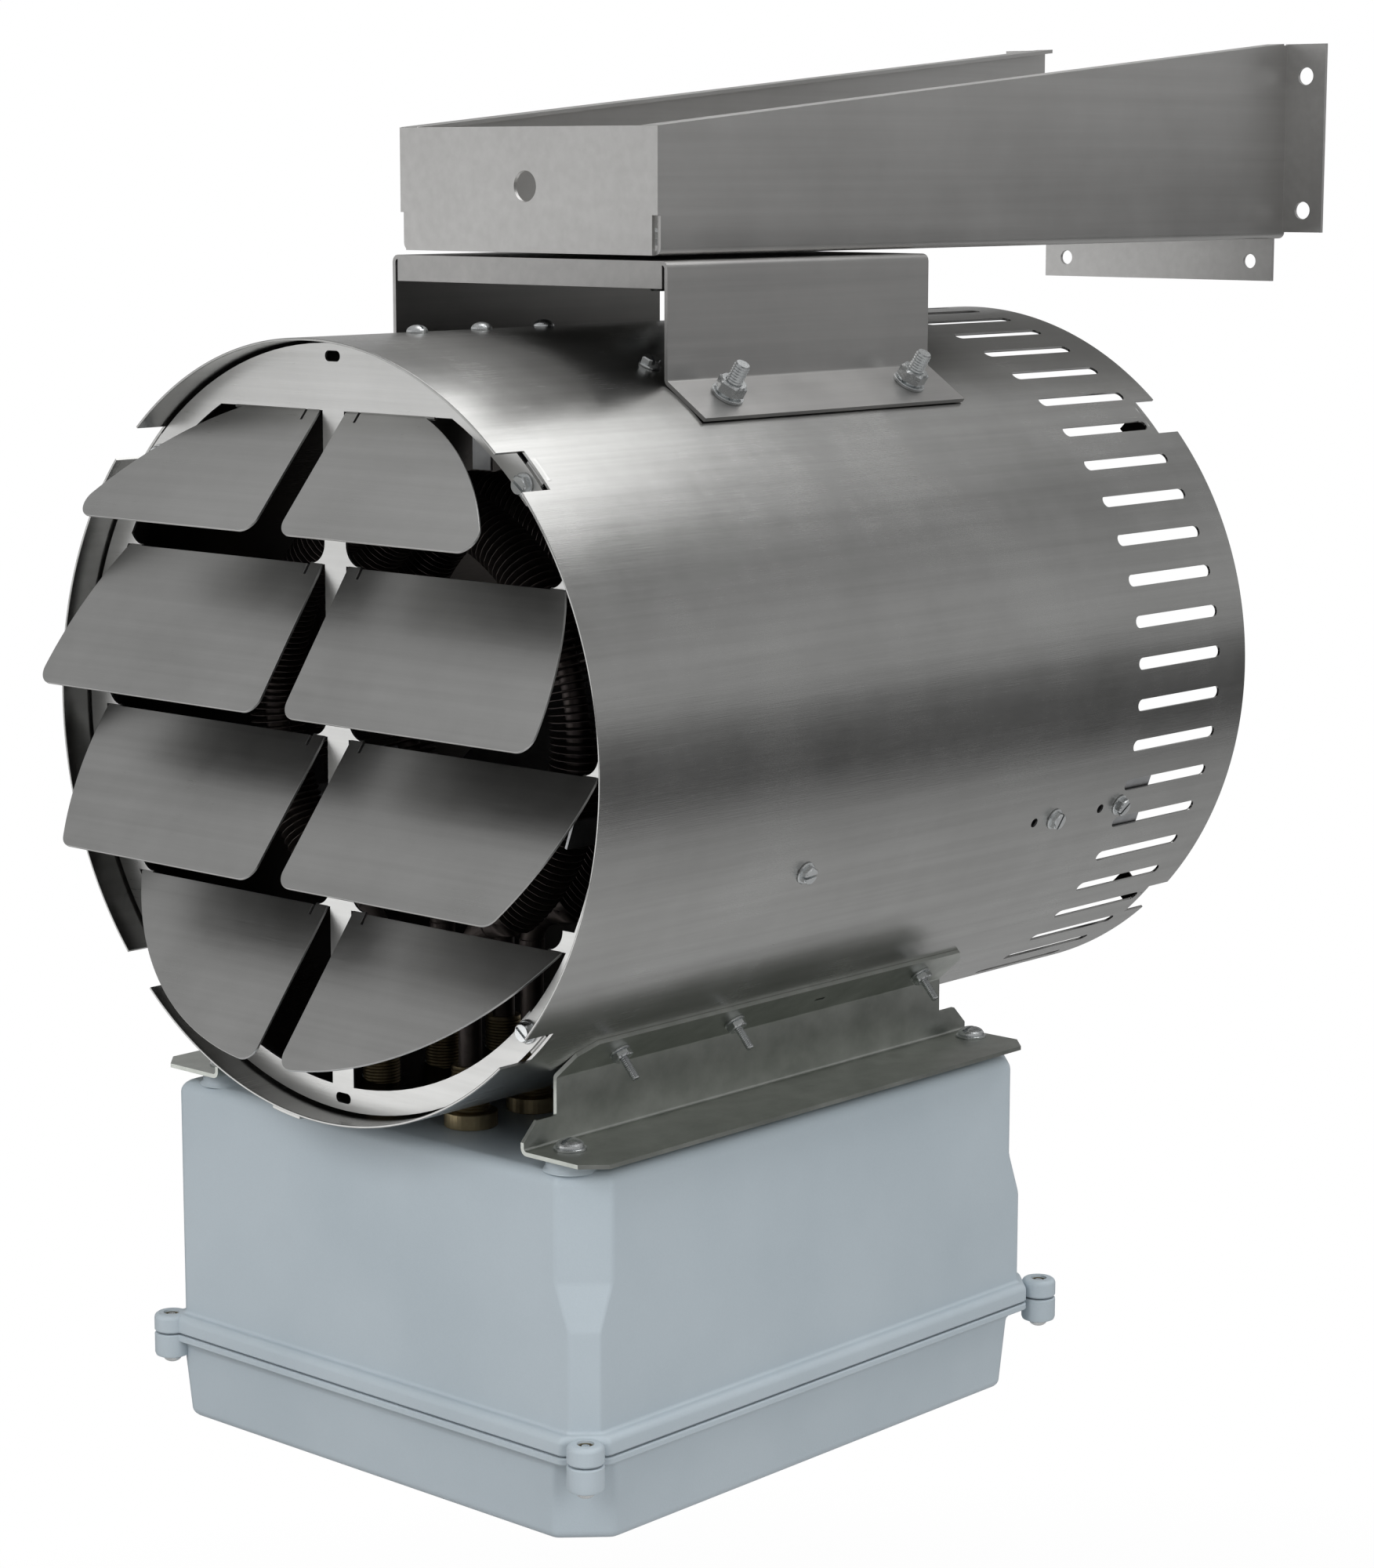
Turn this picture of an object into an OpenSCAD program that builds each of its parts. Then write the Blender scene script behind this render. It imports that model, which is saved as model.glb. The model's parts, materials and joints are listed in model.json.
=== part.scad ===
// Ceiling mounted fan heater: a round sheet metal duct heater that hangs on a swivel bolt
// under a tapered cantilever bracket, with a moulded control box below it.
// Lengths in millimetres, angles in degrees.
// Origin: the middle of the four bolt holes in the bracket arms, on the mounting face.
// +X is to the right for someone facing the louvres, +Y goes to the wall, +Z is up.

/* [Quality] */
// Facets of a full circle
round_steps = 64; // [32:8:96]
// Straight steps in the round of a folded sheet
fold_steps = 4; // [2:1:8]

/* [Casing] */
// Outside diameter of the rolled casing
casing_d = 355.6; // [340:1:380]
// Length of the casing
casing_l = 479; // [460:1:520]
// Sheet thickness of the casing
casing_t = 1.2; // [1:0.1:1.6]
// Air slots in the ring near the rear
slot_count = 54; // [40:2:60]
// Length of an air slot
slot_l = 70; // [50:1:76]
// Width of an air slot
slot_w = 6; // [4:0.5:8]
// Distance of the slot ring from the rear rim
slot_rear = 23; // [21:1:30]
// Width of the notches in both rims
notch_w = 22; // [18:1:26]
// Depth of the notches
notch_depth = 17; // [15:1:20]
// Angle of the first notch above the side
notch_angle = 45; // [42:1:48]
// Width of the tab bent inwards behind a notch
tab_w = 13; // [11:1:16]
// Length of that tab
tab_l = 15; // [13:1:17]

/* [Saddle] */
// Distance from the front rim to the saddle
saddle_front = 138; // [120:1:150]
// Length of the saddle along the casing
saddle_l = 188.6; // [170:1:210]
// Outside width of the saddle
saddle_w = 179.6; // [170:1:190]
// Height of the saddle's top above the casing
saddle_rise = 32.3; // [30:0.5:45]
// Height of the lips at both ends of the saddle
saddle_lip = 12.5; // [8:0.5:16]
// Reach of the sloping feet beyond the bolt line
saddle_foot = 15; // [12:1:20]
// Distance between the saddle bolts along the saddle
saddle_bolt_spacing = 132; // [110:1:160]
// Radius of the saddle bolts
saddle_bolt_r = 3.9; // [3:0.1:4.5]
// Sheet thickness of saddle, bracket and rails
sheet_t = 2; // [1.5:0.5:2.5]

/* [Bracket] */
// Length of the bracket from its front plate to the mounting face
bracket_l = 511; // [480:1:560]
// Outside width of the bracket
bracket_w = 167.6; // [150:1:176]
// Height of the front plate
bracket_front_h = 58; // [52:1:64]
// Height of the arms at the mounting face
bracket_wall_h = 105.7; // [100:1:115]
// Width of the lips along the top of the arms
bracket_lip = 11; // [8:1:16]
// Width of the flanges at the ends of the arms
wall_flange_w = 24.7; // [22:1:32]
// Radius of the four holes in the arm flanges
wall_hole_r = 4.75; // [4:0.25:5.5]
// Height of the middle of those holes above the base
wall_hole_rise = 51.6; // [48:1:56]
// Vertical spacing of those holes
wall_hole_spacing = 72.4; // [64:0.4:80]
// Width of the flange bent down from the base
base_flange_w = 155; // [140:1:160]
// Depth of that flange
base_flange_h = 23.4; // [20:1:28]
// Spacing of its two holes
base_hole_spacing = 125.4; // [110:0.2:132]
// Radius of its two holes
base_hole_r = 4; // [3:0.25:5]
// Radius of the hole in the front plate
front_hole_r = 7.2; // [6.6:0.1:9]
// Height of that hole above the base
front_hole_rise = 30.6; // [26:1:34]

/* [Swivel] */
// Radius of the swivel bolt
swivel_r = 6.35; // [5:0.05:7]
// Running clearance of the bolt in the saddle
swivel_clear = 0.4; // [0.3:0.05:0.8]
// Thickness of the thrust washer between bracket and saddle
thrust_t = 2; // [1.5:0.1:3]
// Running gap under the thrust washer
thrust_gap = 0.3; // [0.3:0.1:0.6]

/* [Louvres] */
// Thickness of the louvre plate and blades
louver_t = 1.2; // [1:0.1:1.6]
// Gap between the louvre plate and the casing
louver_rim_gap = 1.6; // [1:0.1:3]
// Width of the plate's outer ring
louver_ring_w = 11.5; // [9:0.5:14]
// Width of the middle rib
rib_w = 14; // [10:1:20]
// Cut between a blade and the plate beside it
blade_cut = 1.6; // [1.2:0.1:3]
// Heights of the four bend lines as shares of the window's radius, top row first
bend_shares = [0.88685, 0.46453, -0.01437, -0.49327];
// Gap in the flat sheet between a blade's lower edge and the next bend line
blade_row_gap = 1.8; // [1.6:0.1:3]
// Clear distance of a blade's edge below its bend line
blade_hang = 0.7; // [0.6:0.1:1.2]
// Forward tilt of the blades in each row, top row first
blade_angles = [40, 34, 38, 37];
// Round of the blades' lower corners
blade_corner = 8; // [5:0.5:10]
// Outer radius of the top blades, less than the others
blade_top_inset = 6; // [2:1:10]
// Width of a neck
neck_w = 8; // [6:0.5:10]

/* [Rails] */
// Reach of the rails beyond the front box screws
rail_front_reach = 17; // [14:1:20]
// Reach of the rails beyond the rear box screws
rail_rear_reach = 10.4; // [9:0.1:14]
// Distance of the upright web inside the line where the leaf meets the casing
rail_web_in = 15; // [12:1:20]
// Reach of the flat flange beyond the box screws
rail_flange_reach = 31; // [26:1:34]
// Width of the leaf against the casing
rail_leaf = 26; // [22:1:30]
// Angle of that leaf's contact line below the side
rail_angle = 48; // [45:1:50]
// Distance by which the upper part of the rail is shorter at each end
rail_step = 21; // [16:1:26]
// Bolt places along a rail as shares of its length
rail_bolt_shares = [0.164, 0.41, 0.8455];
// Radius of the rail bolts
rail_bolt_r = 2.1; // [1.8:0.1:3]

/* [Control box] */
// Width of the box
box_w = 274.6; // [260:1:290]
// Length of the box
box_l = 326; // [312:1:336]
// Height of the box above the lid
box_h = 126.6; // [110:1:150]
// Height of the lid
lid_h = 43.3; // [36:1:52]
// Distance of the box from the front rim
box_front = 31.8; // [24:1:40]
// Gap between casing and box
box_gap = 8.8; // [8:0.2:14]
// Wall thickness of box and lid
box_t = 4; // [3:0.5:5]
// Height of the four bosses on top of the box
boss_h = 6.6; // [5:0.2:7.8]
// Radius of those bosses
boss_r = 11; // [9:0.5:13]
// Distance of the bosses from the box's side walls
boss_side = 21.3; // [18:0.5:26]
// Distance of the front bosses from the box's front wall
boss_end = 13.2; // [12:0.5:20]
// Distance of the rear bosses from the box's rear wall
boss_rear = 23.2; // [20:0.2:28]
// Corner cut of the box near its top
box_cut_top = 18; // [14:1:22]
// Corner cut of the box near its rim
box_cut_low = 10; // [7:1:12]
// Reach of the rims of box and lid beyond the walls
rim_out = 6; // [4:0.5:8]
// Height of the box's rim
rim_h = 9; // [7:0.5:12]
// Radius of the corner ears
ear_r = 8.5; // [8:0.5:10]

/* [Fan and motor] */
// Gap between the fan's tips and the casing
fan_tip_gap = 16.6; // [11.6:0.1:36]
// Distance of the fan's disc from the front rim
fan_y = 250; // [240:1:255]
// Number of fan blades
fan_blade_count = 5; // [3:1:7]
// Pitch of the fan blades
fan_angle = 28; // [18:1:32]
// Radius of the motor
motor_r = 60; // [50:1:66]
// Length of the motor
motor_l = 130; // [110:1:134]
// Distance of the motor from the front rim
motor_y = 298; // [294:1:304]
// Radius of the motor shaft
shaft_r = 7.9; // [6:0.1:9]
// Running clearance of the shaft in the motor
shaft_clear = 0.05; // [0.02:0.01:0.1]
// Screw places of the motor cradle, from the front rim
cradle_screw_places = [332, 386];
// Spare hole places beside them
cradle_spare_places = [316, 370];
// Angle of the cradle screws below the side
cradle_angle = 20; // [18:1:22]

/* [Heating elements] */
// Places of the three elements, from the front rim
element_places = [68, 109, 150];
// Radius of an element's ring
element_ring_r = 100; // [90:1:110]
// Radius over the fins
fin_r = 13; // [11:0.5:15]
// Radius of the element's sheath
sheath_r = 5.5; // [4.5:0.1:6.5]
// Distance between an element's legs
leg_spacing = 60; // [52:1:72]
// Radius of the bends into the legs
leg_bend = 18; // [15:1:22]

/* [Hidden] */
$fn = round_steps;

// One overrun for every cut
over = 1;
// Clearance of a fixed screw in its hole
screw_clear = 0.1;
// Clearance of a bolt in a sheet's hole
hole_clear = 0.4;
// Side of a square turned by 45 degrees, as a share of half its diagonal
square_share = sqrt(2);
// Inside radius of the folds in thick sheet
fold_r = 1.5;
casing_r = casing_d / 2;
casing_in = casing_r - casing_t;
saddle_top = casing_r + saddle_rise;
base_z = saddle_top + thrust_gap + thrust_t;
saddle_mid = saddle_front + saddle_l / 2;
casing_front_y = -(saddle_front + bracket_l);
casing_axis_z = -(base_z + wall_hole_rise);

// Functions for outlines
function unit(v) = v / norm(v);
function turned_left(v) = [-v[1], v[0]];
function run(p, i) = unit(p[i + 1] - p[i]);
function mitre(p, i, h) =
    let (a = turned_left(run(p, i - 1)), b = turned_left(run(p, i)), m = unit(a + b))
    p[i] + m * h / (m * a);
// Point beside corner i of an open path, at distance h to its left
function beside(p, i, h) =
    i == 0 ? p[0] + turned_left(run(p, 0)) * h :
    i == len(p) - 1 ? p[i] + turned_left(run(p, i - 1)) * h :
    mitre(p, i, h);
function bends_left(p, i) =
    let (a = run(p, i - 1), b = run(p, i)) a[0] * b[1] - a[1] * b[0] > 0;
function side_round(p, i, t, r, is_left) =
    i == 0 || i == len(p) - 1 ? 0 : (bends_left(p, i) == is_left ? r : r + t);
// Corner points with their rounds for a folded strip along the path
function strip_corners(p, t, r) = concat(
    [for (i = [0 : len(p) - 1]) [each beside(p, i, t / 2), side_round(p, i, t, r, true)]],
    [for (i = [len(p) - 1 : -1 : 0]) [each beside(p, i, -t / 2), side_round(p, i, t, r, false)]]
);
function flat2(v) = [v[0], v[1]];
function short_turn(a) = a > 180 ? a - 360 : (a < -180 ? a + 360 : a);
function round_corner(a, b, c, r, n) =
    r == 0 ? [flat2(b)] :
    let (
        u = unit(flat2(a) - flat2(b)),
        v = unit(flat2(c) - flat2(b)),
        half = acos(u * v) / 2,
        middle = flat2(b) + unit(u + v) * r / sin(half),
        from = flat2(b) + u * r / tan(half) - middle,
        to = flat2(b) + v * r / tan(half) - middle,
        start = atan2(from[1], from[0]),
        sweep = short_turn(atan2(to[1], to[0]) - start)
    )
    [for (k = [0 : n]) middle + r * [cos(start + sweep * k / n), sin(start + sweep * k / n)]];
function rounded(p, n) = let (m = len(p))
    [for (i = [0 : m - 1]) each round_corner(p[(i + m - 1) % m], p[i], p[(i + 1) % m], p[i][2], n)];

// Moves a piece from the casing's own frame, front rim and axis at zero, to its place
module at_casing() {
    translate([0, casing_front_y, casing_axis_z])
        children();
}

// Folded strip that runs along +Y, its outline in X and Z
module strip(path, t, l) {
    translate([0, l, 0])
        rotate([90, 0, 0])
            linear_extrude(l)
                polygon(rounded(strip_corners(path, t, fold_r), fold_steps));
}

// Outline in X and Z made into a plate whose front face is at y
module plate_xz(y, t) {
    translate([0, y + t, 0])
        rotate([90, 0, 0])
            linear_extrude(t)
                children();
}

// Round bar along +Y
module bar_y(y, l, r) {
    translate([0, y, 0])
        rotate([-90, 0, 0])
            cylinder(h = l, r = r);
}

// Turns the radial direction at an angle round the casing into +X
module turned(angle) {
    rotate([0, -angle, 0])
        children();
}

// Places a fastener on a round surface, its +Z pointing outwards
module on_round(angle, y, r) {
    turned(angle)
        translate([r, y, 0])
            rotate([0, 90, 0])
                children();
}

// Hexagon prism given its width across flats
module hexagon(flats, h) {
    cylinder(h = h, r = flats / sqrt(3), $fn = 6);
}

module nut(flats, h, bore) {
    difference() {
        hexagon(flats, h);
        translate([0, 0, -over])
            cylinder(h = h + 2 * over, r = bore);
    }
}

module washer(r, bore, h) {
    difference() {
        cylinder(h = h, r = r);
        translate([0, 0, -over])
            cylinder(h = h + 2 * over, r = bore);
    }
}

// Domed head with a driver slot
module dome_head(r, h, slot) {
    ball = (r * r + h * h) / (2 * h);
    difference() {
        intersection() {
            cylinder(h = h, r = r);
            translate([0, 0, h - ball])
                sphere(r = ball);
        }
        translate([-r - over, -slot / 2, h / 2])
            cube([2 * (r + over), slot, h]);
    }
}

// Sizes of the small sheet metal screws
small_r = 2.1;
screw_flats = 8;
screw_head_h = 4.2;
screw_flange_r = 5.4;
screw_flange_h = 1.1;
screw_slot = 1.3;

// Screw with a hexagon head on a round flange, slotted, its shank going down
module flange_screw(l) {
    difference() {
        union() {
            cylinder(h = screw_flange_h, r = screw_flange_r);
            hexagon(screw_flats, screw_head_h);
        }
        translate([-screw_flats, -screw_slot / 2, screw_head_h / 2])
            cube([2 * screw_flats, screw_slot, screw_head_h]);
    }
    translate([0, 0, -l])
        cylinder(h = l, r = small_r);
}

// Bracket
bracket_y = -bracket_l;
bracket_z = -wall_hole_rise;
relief_w = sheet_t + fold_r;
relief_h = 18;
lip_end = 5;
wall_flange_drop = 0.6;

// Height of an arm's top edge above the base, at a distance from the front plate
function arm_top(y) = bracket_front_h + (bracket_wall_h - bracket_front_h) * y / bracket_l;

// Outline in Y and Z made into a plate between two distances from the middle
module plate_yz(x0, x1) {
    translate([x0, 0, 0])
        rotate([90, 0, 90])
            linear_extrude(x1 - x0)
                children();
}

module bracket() {
    half = bracket_w / 2 - sheet_t / 2;
    flange_low = sheet_t + fold_r;
    flange_high = bracket_wall_h - wall_flange_drop;
    flange_in = bracket_w / 2 - sheet_t / 2;
    lip_rear = bracket_l - lip_end;
    color("darkgray")
        translate([0, bracket_y, bracket_z])
            difference() {
                union() {
                    // Base and arms, one folded channel cut to the taper
                    intersection() {
                        translate([0, sheet_t, 0])
                            strip([
                                [-half, bracket_wall_h + over], [-half, sheet_t / 2],
                                [half, sheet_t / 2], [half, bracket_wall_h + over]
                            ], sheet_t, bracket_l - sheet_t);
                        plate_yz(-bracket_w / 2 - over, bracket_w / 2 + over)
                            polygon([
                                [0, -over], [bracket_l + over, -over],
                                [bracket_l + over, arm_top(bracket_l + over) - sheet_t / 2],
                                [0, arm_top(0) - sheet_t / 2]
                            ]);
                    }
                    // Lips along the arms
                    for (side = [0, 1])
                        mirror([side, 0, 0])
                            plate_yz(bracket_w / 2 - bracket_lip, bracket_w / 2)
                                polygon([
                                    [sheet_t / 2, arm_top(sheet_t) - sheet_t],
                                    [lip_rear, arm_top(lip_rear) - sheet_t],
                                    [lip_rear, arm_top(lip_rear)], [sheet_t / 2, arm_top(sheet_t)]
                                ]);
                    // Front plate
                    plate_xz(0, sheet_t)
                        polygon([
                            [-bracket_w / 2 + relief_w, 0], [bracket_w / 2 - relief_w, 0],
                            [bracket_w / 2 - relief_w, relief_h], [bracket_w / 2, relief_h],
                            [bracket_w / 2, bracket_front_h], [-bracket_w / 2, bracket_front_h],
                            [-bracket_w / 2, relief_h], [-bracket_w / 2 + relief_w, relief_h]
                        ]);
                    // Flanges at the ends of the arms
                    for (side = [0, 1])
                        mirror([side, 0, 0])
                            translate([flange_in, bracket_l - sheet_t, flange_low])
                                cube([wall_flange_w + sheet_t / 2, sheet_t, flange_high - flange_low]);
                    // Flange bent down from the base
                    translate([-base_flange_w / 2, bracket_l - sheet_t, -base_flange_h])
                        cube([base_flange_w, sheet_t, base_flange_h + sheet_t / 2]);
                }
                // Holes in the arm flanges
                for (side = [-1, 1], level = [-1, 1])
                    translate([side * (bracket_w + wall_flange_w) / 2, bracket_l - sheet_t - over,
                            wall_hole_rise + level * wall_hole_spacing / 2])
                        bar_y(0, sheet_t + 2 * over, wall_hole_r);
                // Holes in the base flange
                for (side = [-1, 1])
                    translate([side * base_hole_spacing / 2, bracket_l - sheet_t - over,
                            -base_flange_h / 2 - sheet_t / 2])
                        bar_y(0, sheet_t + 2 * over, base_hole_r);
                // Hole in the front plate
                translate([0, -over, front_hole_rise])
                    bar_y(0, sheet_t + 2 * over, front_hole_r);
                // Hole for the swivel bolt
                translate([0, saddle_l / 2, -over])
                    cylinder(h = sheet_t + 2 * over, r = swivel_r + screw_clear);
            }
}

// Swivel, in the bracket's frame: bolt head in the tray, nut under the saddle
swivel_nut_h = 10;
swivel_flats = 19;
swivel_washer_r = 17;
swivel_washer_t = 2.4;
swivel_tail = 3;

module at_swivel() {
    translate([0, bracket_y + saddle_l / 2, bracket_z])
        children();
}

module swivel_bolt() {
    head_h = 8;
    reach = thrust_t + 2 * thrust_gap + sheet_t + swivel_washer_t + swivel_nut_h + swivel_tail;
    color("silver")
        at_swivel()
            translate([0, 0, sheet_t]) {
                hexagon(swivel_flats, head_h);
                translate([0, 0, -sheet_t - reach])
                    cylinder(h = sheet_t + reach, r = swivel_r);
            }
}

module swivel_nut() {
    low = thrust_t + 2 * thrust_gap + sheet_t + swivel_washer_t + swivel_nut_h;
    color("silver")
        at_swivel()
            translate([0, 0, -low])
                nut(swivel_flats, swivel_nut_h, swivel_r);
}

module swivel_washers() {
    low = thrust_t + 2 * thrust_gap + sheet_t + swivel_washer_t;
    color("lightgray")
        at_swivel() {
            translate([0, 0, -thrust_t])
                washer(swivel_washer_r, swivel_r, thrust_t);
            translate([0, 0, -low])
                washer(swivel_washer_r, swivel_r, swivel_washer_t);
        }
}

// Casing
lap_angle = 263;
lap_span_angle = 6;
side_screw_y = 145;
side_screw_angle = -20;
cutout_in = 17.5;
cutout_angle = acos((saddle_w / 2 - cutout_in) / casing_r);
plate_screw_in = 9.6;
plate_screw_r = casing_r - plate_screw_in;
leg_thread_r = 9;
slot_mid = casing_l - slot_rear - slot_l / 2;

// Both ends of the casing, the rear one mirrored
module both_rims() {
    children();
    translate([0, casing_l, 0])
        mirror([0, 1, 0])
            children();
}

module air_slot() {
    reach = 2 * over + casing_t;
    straight = slot_l - slot_w;
    turned_in = casing_in - over;
    translate([turned_in, slot_mid - straight / 2, -slot_w / 2])
        cube([reach, straight, slot_w]);
    for (end = [-1, 1])
        translate([turned_in, slot_mid + end * straight / 2, 0])
            rotate([0, 90, 0])
                cylinder(h = reach, r = slot_w / 2, $fn = 16);
}

module round_hole(angle, y, r) {
    on_round(angle, y, casing_in - over)
        cylinder(h = casing_t + 2 * over, r = r, $fn = 24);
}

module casing() {
    color("gainsboro")
        at_casing()
            difference() {
                union() {
                    bar_y(0, casing_l, casing_r);
                    // Lapped seam underneath
                    intersection() {
                        bar_y(0, casing_l, casing_r + casing_t);
                        turned(lap_angle)
                            linear_wedge(lap_span_angle, casing_r + casing_t + over, casing_l);
                    }
                }
                difference() {
                    bar_y(-over, casing_l + 2 * over, casing_in);
                    // Tabs bent inwards behind the notches
                    both_rims()
                        for (k = [0 : 3])
                            turned(notch_angle + 90 * k)
                                translate([casing_in - tab_l, notch_depth, -tab_w / 2])
                                    cube([tab_l + over, casing_t, tab_w]);
                }
                both_rims()
                    for (k = [0 : 3])
                        turned(notch_angle + 90 * k) {
                            translate([casing_in - over, -over, -notch_w / 2])
                                cube([casing_t + 3 * over, notch_depth + over, notch_w]);
                            translate([plate_screw_r, 0, 0])
                                bar_y(0, notch_depth + casing_t + over, small_r + screw_clear);
                        }
                for (k = [0 : slot_count - 1])
                    turned((k + 0.5) * 360 / slot_count)
                        air_slot();
                // Screw holes
                for (side = [0, 1])
                    for (y = concat(cradle_screw_places, cradle_spare_places))
                        round_hole(side * 180 + (1 - 2 * side) * -cradle_angle, y, small_r + screw_clear);
                for (angle = [side_screw_angle, 180 - side_screw_angle])
                    round_hole(angle, side_screw_y, small_r + screw_clear);
                round_hole(cutout_angle, side_screw_y, small_r + screw_clear);
                for (y = element_places)
                    round_hole(90, y, small_r + screw_clear);
                // Saddle and rail bolts
                for (side = [-1, 1], end = [-1, 1])
                    round_hole(90 - side * (90 - foot_angle), saddle_mid + end * saddle_bolt_spacing / 2,
                        saddle_bolt_r + hole_clear);
                for (side = [-1, 1], y = rail_bolt_places)
                    round_hole(-90 + side * (90 - rail_bolt_angle), y, rail_bolt_r + hole_clear);
                // Legs of the elements
                for (side = [-1, 1], y = element_places)
                    translate([side * leg_spacing / 2, y, -casing_r - 2 * over])
                        cylinder(h = casing_r / 2, r = leg_thread_r + hole_clear);
            }
}

// Wedge round the Y axis, used to keep an arc of a round piece
module linear_wedge(arc, r, l) {
    translate([0, l, 0])
        rotate([90, 0, 0])
            linear_extrude(l)
                polygon([[0, 0], [r * cos(arc / 2), -r * sin(arc / 2)],
                    [r / cos(arc / 2), 0], [r * cos(arc / 2), r * sin(arc / 2)]]);
}

// Saddle
foot_reach = 9.6;
foot_angle = acos((saddle_w / 2 + foot_reach) / casing_r);
saddle_nut_flats = 12.7;
saddle_nut_h = 6.7;
saddle_washer_r = 8;
saddle_washer_t = 1.6;
saddle_head_h = 5;
saddle_tail = 9.5;

// Point at a radius and a distance along the tangent, for an angle above the side
function tangent_point(angle, r, along) =
    [r * cos(angle) - along * sin(angle), r * sin(angle) + along * cos(angle)];

module saddle() {
    mid_r = casing_r + sheet_t / 2;
    foot = tangent_point(foot_angle, mid_r, -saddle_foot);
    side_x = saddle_w / 2 - sheet_t / 2;
    fold_z = (mid_r - side_x * cos(foot_angle)) / sin(foot_angle);
    top_z = saddle_top - sheet_t / 2;
    lip_w = saddle_w - 2 * (sheet_t + fold_r);
    color("darkgray")
        at_casing()
            difference() {
                union() {
                    translate([0, saddle_front, 0])
                        strip([
                            [-foot[0], foot[1]], [-side_x, fold_z], [-side_x, top_z],
                            [side_x, top_z], [side_x, fold_z], foot
                        ], sheet_t, saddle_l);
                    // Lips at both ends
                    for (y = [saddle_front, saddle_front + saddle_l - sheet_t])
                        translate([-lip_w / 2, y, saddle_top - saddle_lip])
                            cube([lip_w, sheet_t, saddle_lip]);
                }
                translate([0, saddle_mid, saddle_top - sheet_t - over])
                    cylinder(h = sheet_t + 2 * over, r = swivel_r + swivel_clear);
                for (side = [-1, 1], end = [-1, 1])
                    on_round(90 - side * (90 - foot_angle), saddle_mid + end * saddle_bolt_spacing / 2,
                            casing_r - over)
                        cylinder(h = sheet_t + 2 * over, r = saddle_bolt_r + hole_clear);
            }
}

module at_saddle_bolts() {
    at_casing()
        for (side = [-1, 1], end = [-1, 1])
            on_round(90 - side * (90 - foot_angle), saddle_mid + end * saddle_bolt_spacing / 2, casing_r)
                children();
}

// Height, from the casing's outside, at which a flat head reaching this far sideways touches the inside
function head_seat(reach) = sqrt(pow(casing_in, 2) - pow(reach, 2)) - casing_r;

module saddle_bolts() {
    out = sheet_t + saddle_washer_t + saddle_nut_h + saddle_tail;
    seat = head_seat(saddle_nut_flats / sqrt(3));
    color("silver")
        at_saddle_bolts() {
            translate([0, 0, seat - saddle_head_h])
                hexagon(saddle_nut_flats, saddle_head_h);
            translate([0, 0, seat - saddle_head_h / 2])
                cylinder(h = out + saddle_head_h / 2 - seat, r = saddle_bolt_r);
        }
}

module saddle_nuts() {
    color("silver")
        at_saddle_bolts()
            translate([0, 0, sheet_t]) {
                washer(saddle_washer_r, saddle_bolt_r, saddle_washer_t);
                translate([0, 0, saddle_washer_t])
                    nut(saddle_nut_flats, saddle_nut_h, saddle_bolt_r);
            }
}

// Rails
box_top = -(casing_r + box_gap);
rail_flange_low = box_top + boss_h;
rail_mid_r = casing_r + sheet_t / 2;
rail_web_x = casing_r * cos(rail_angle) - rail_web_in;
boss_x = box_w / 2 - boss_side;
box_ends = [box_front + boss_end, box_front + box_l - boss_rear];
rail_front = box_ends[0] - rail_front_reach;
rail_l = box_ends[1] + rail_rear_reach - rail_front;
rail_bolt_places = [for (share = rail_bolt_shares) rail_front + share * rail_l];
rail_web_mid = rail_web_x - sheet_t / 2;
rail_fold_z = -(rail_mid_r - rail_web_mid * cos(rail_angle)) / sin(rail_angle);
// Distance along the leaf from its contact line down to the fold
rail_fold_along = (rail_mid_r * cos(rail_angle) - rail_web_mid) / sin(rail_angle);
rail_bolt_along = rail_fold_along - rail_leaf / 2;
rail_bolt_angle = rail_angle + atan(rail_bolt_along / casing_r);
rail_chamfer = 10;
rail_leaf_chamfer = 8;
rail_web_chamfer = 8.7;
rail_web_low = 14.6;
spare_slit_share = 0.605;
spare_slit_l = 7;
rail_nut_flats = 8.8;
rail_nut_h = 3.4;
rail_washer_r = 5.2;
rail_washer_t = 1;
rail_head_r = 4.2;
rail_head_h = 3;
rail_tail = 11;
box_screw_r = 2.6;

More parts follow.
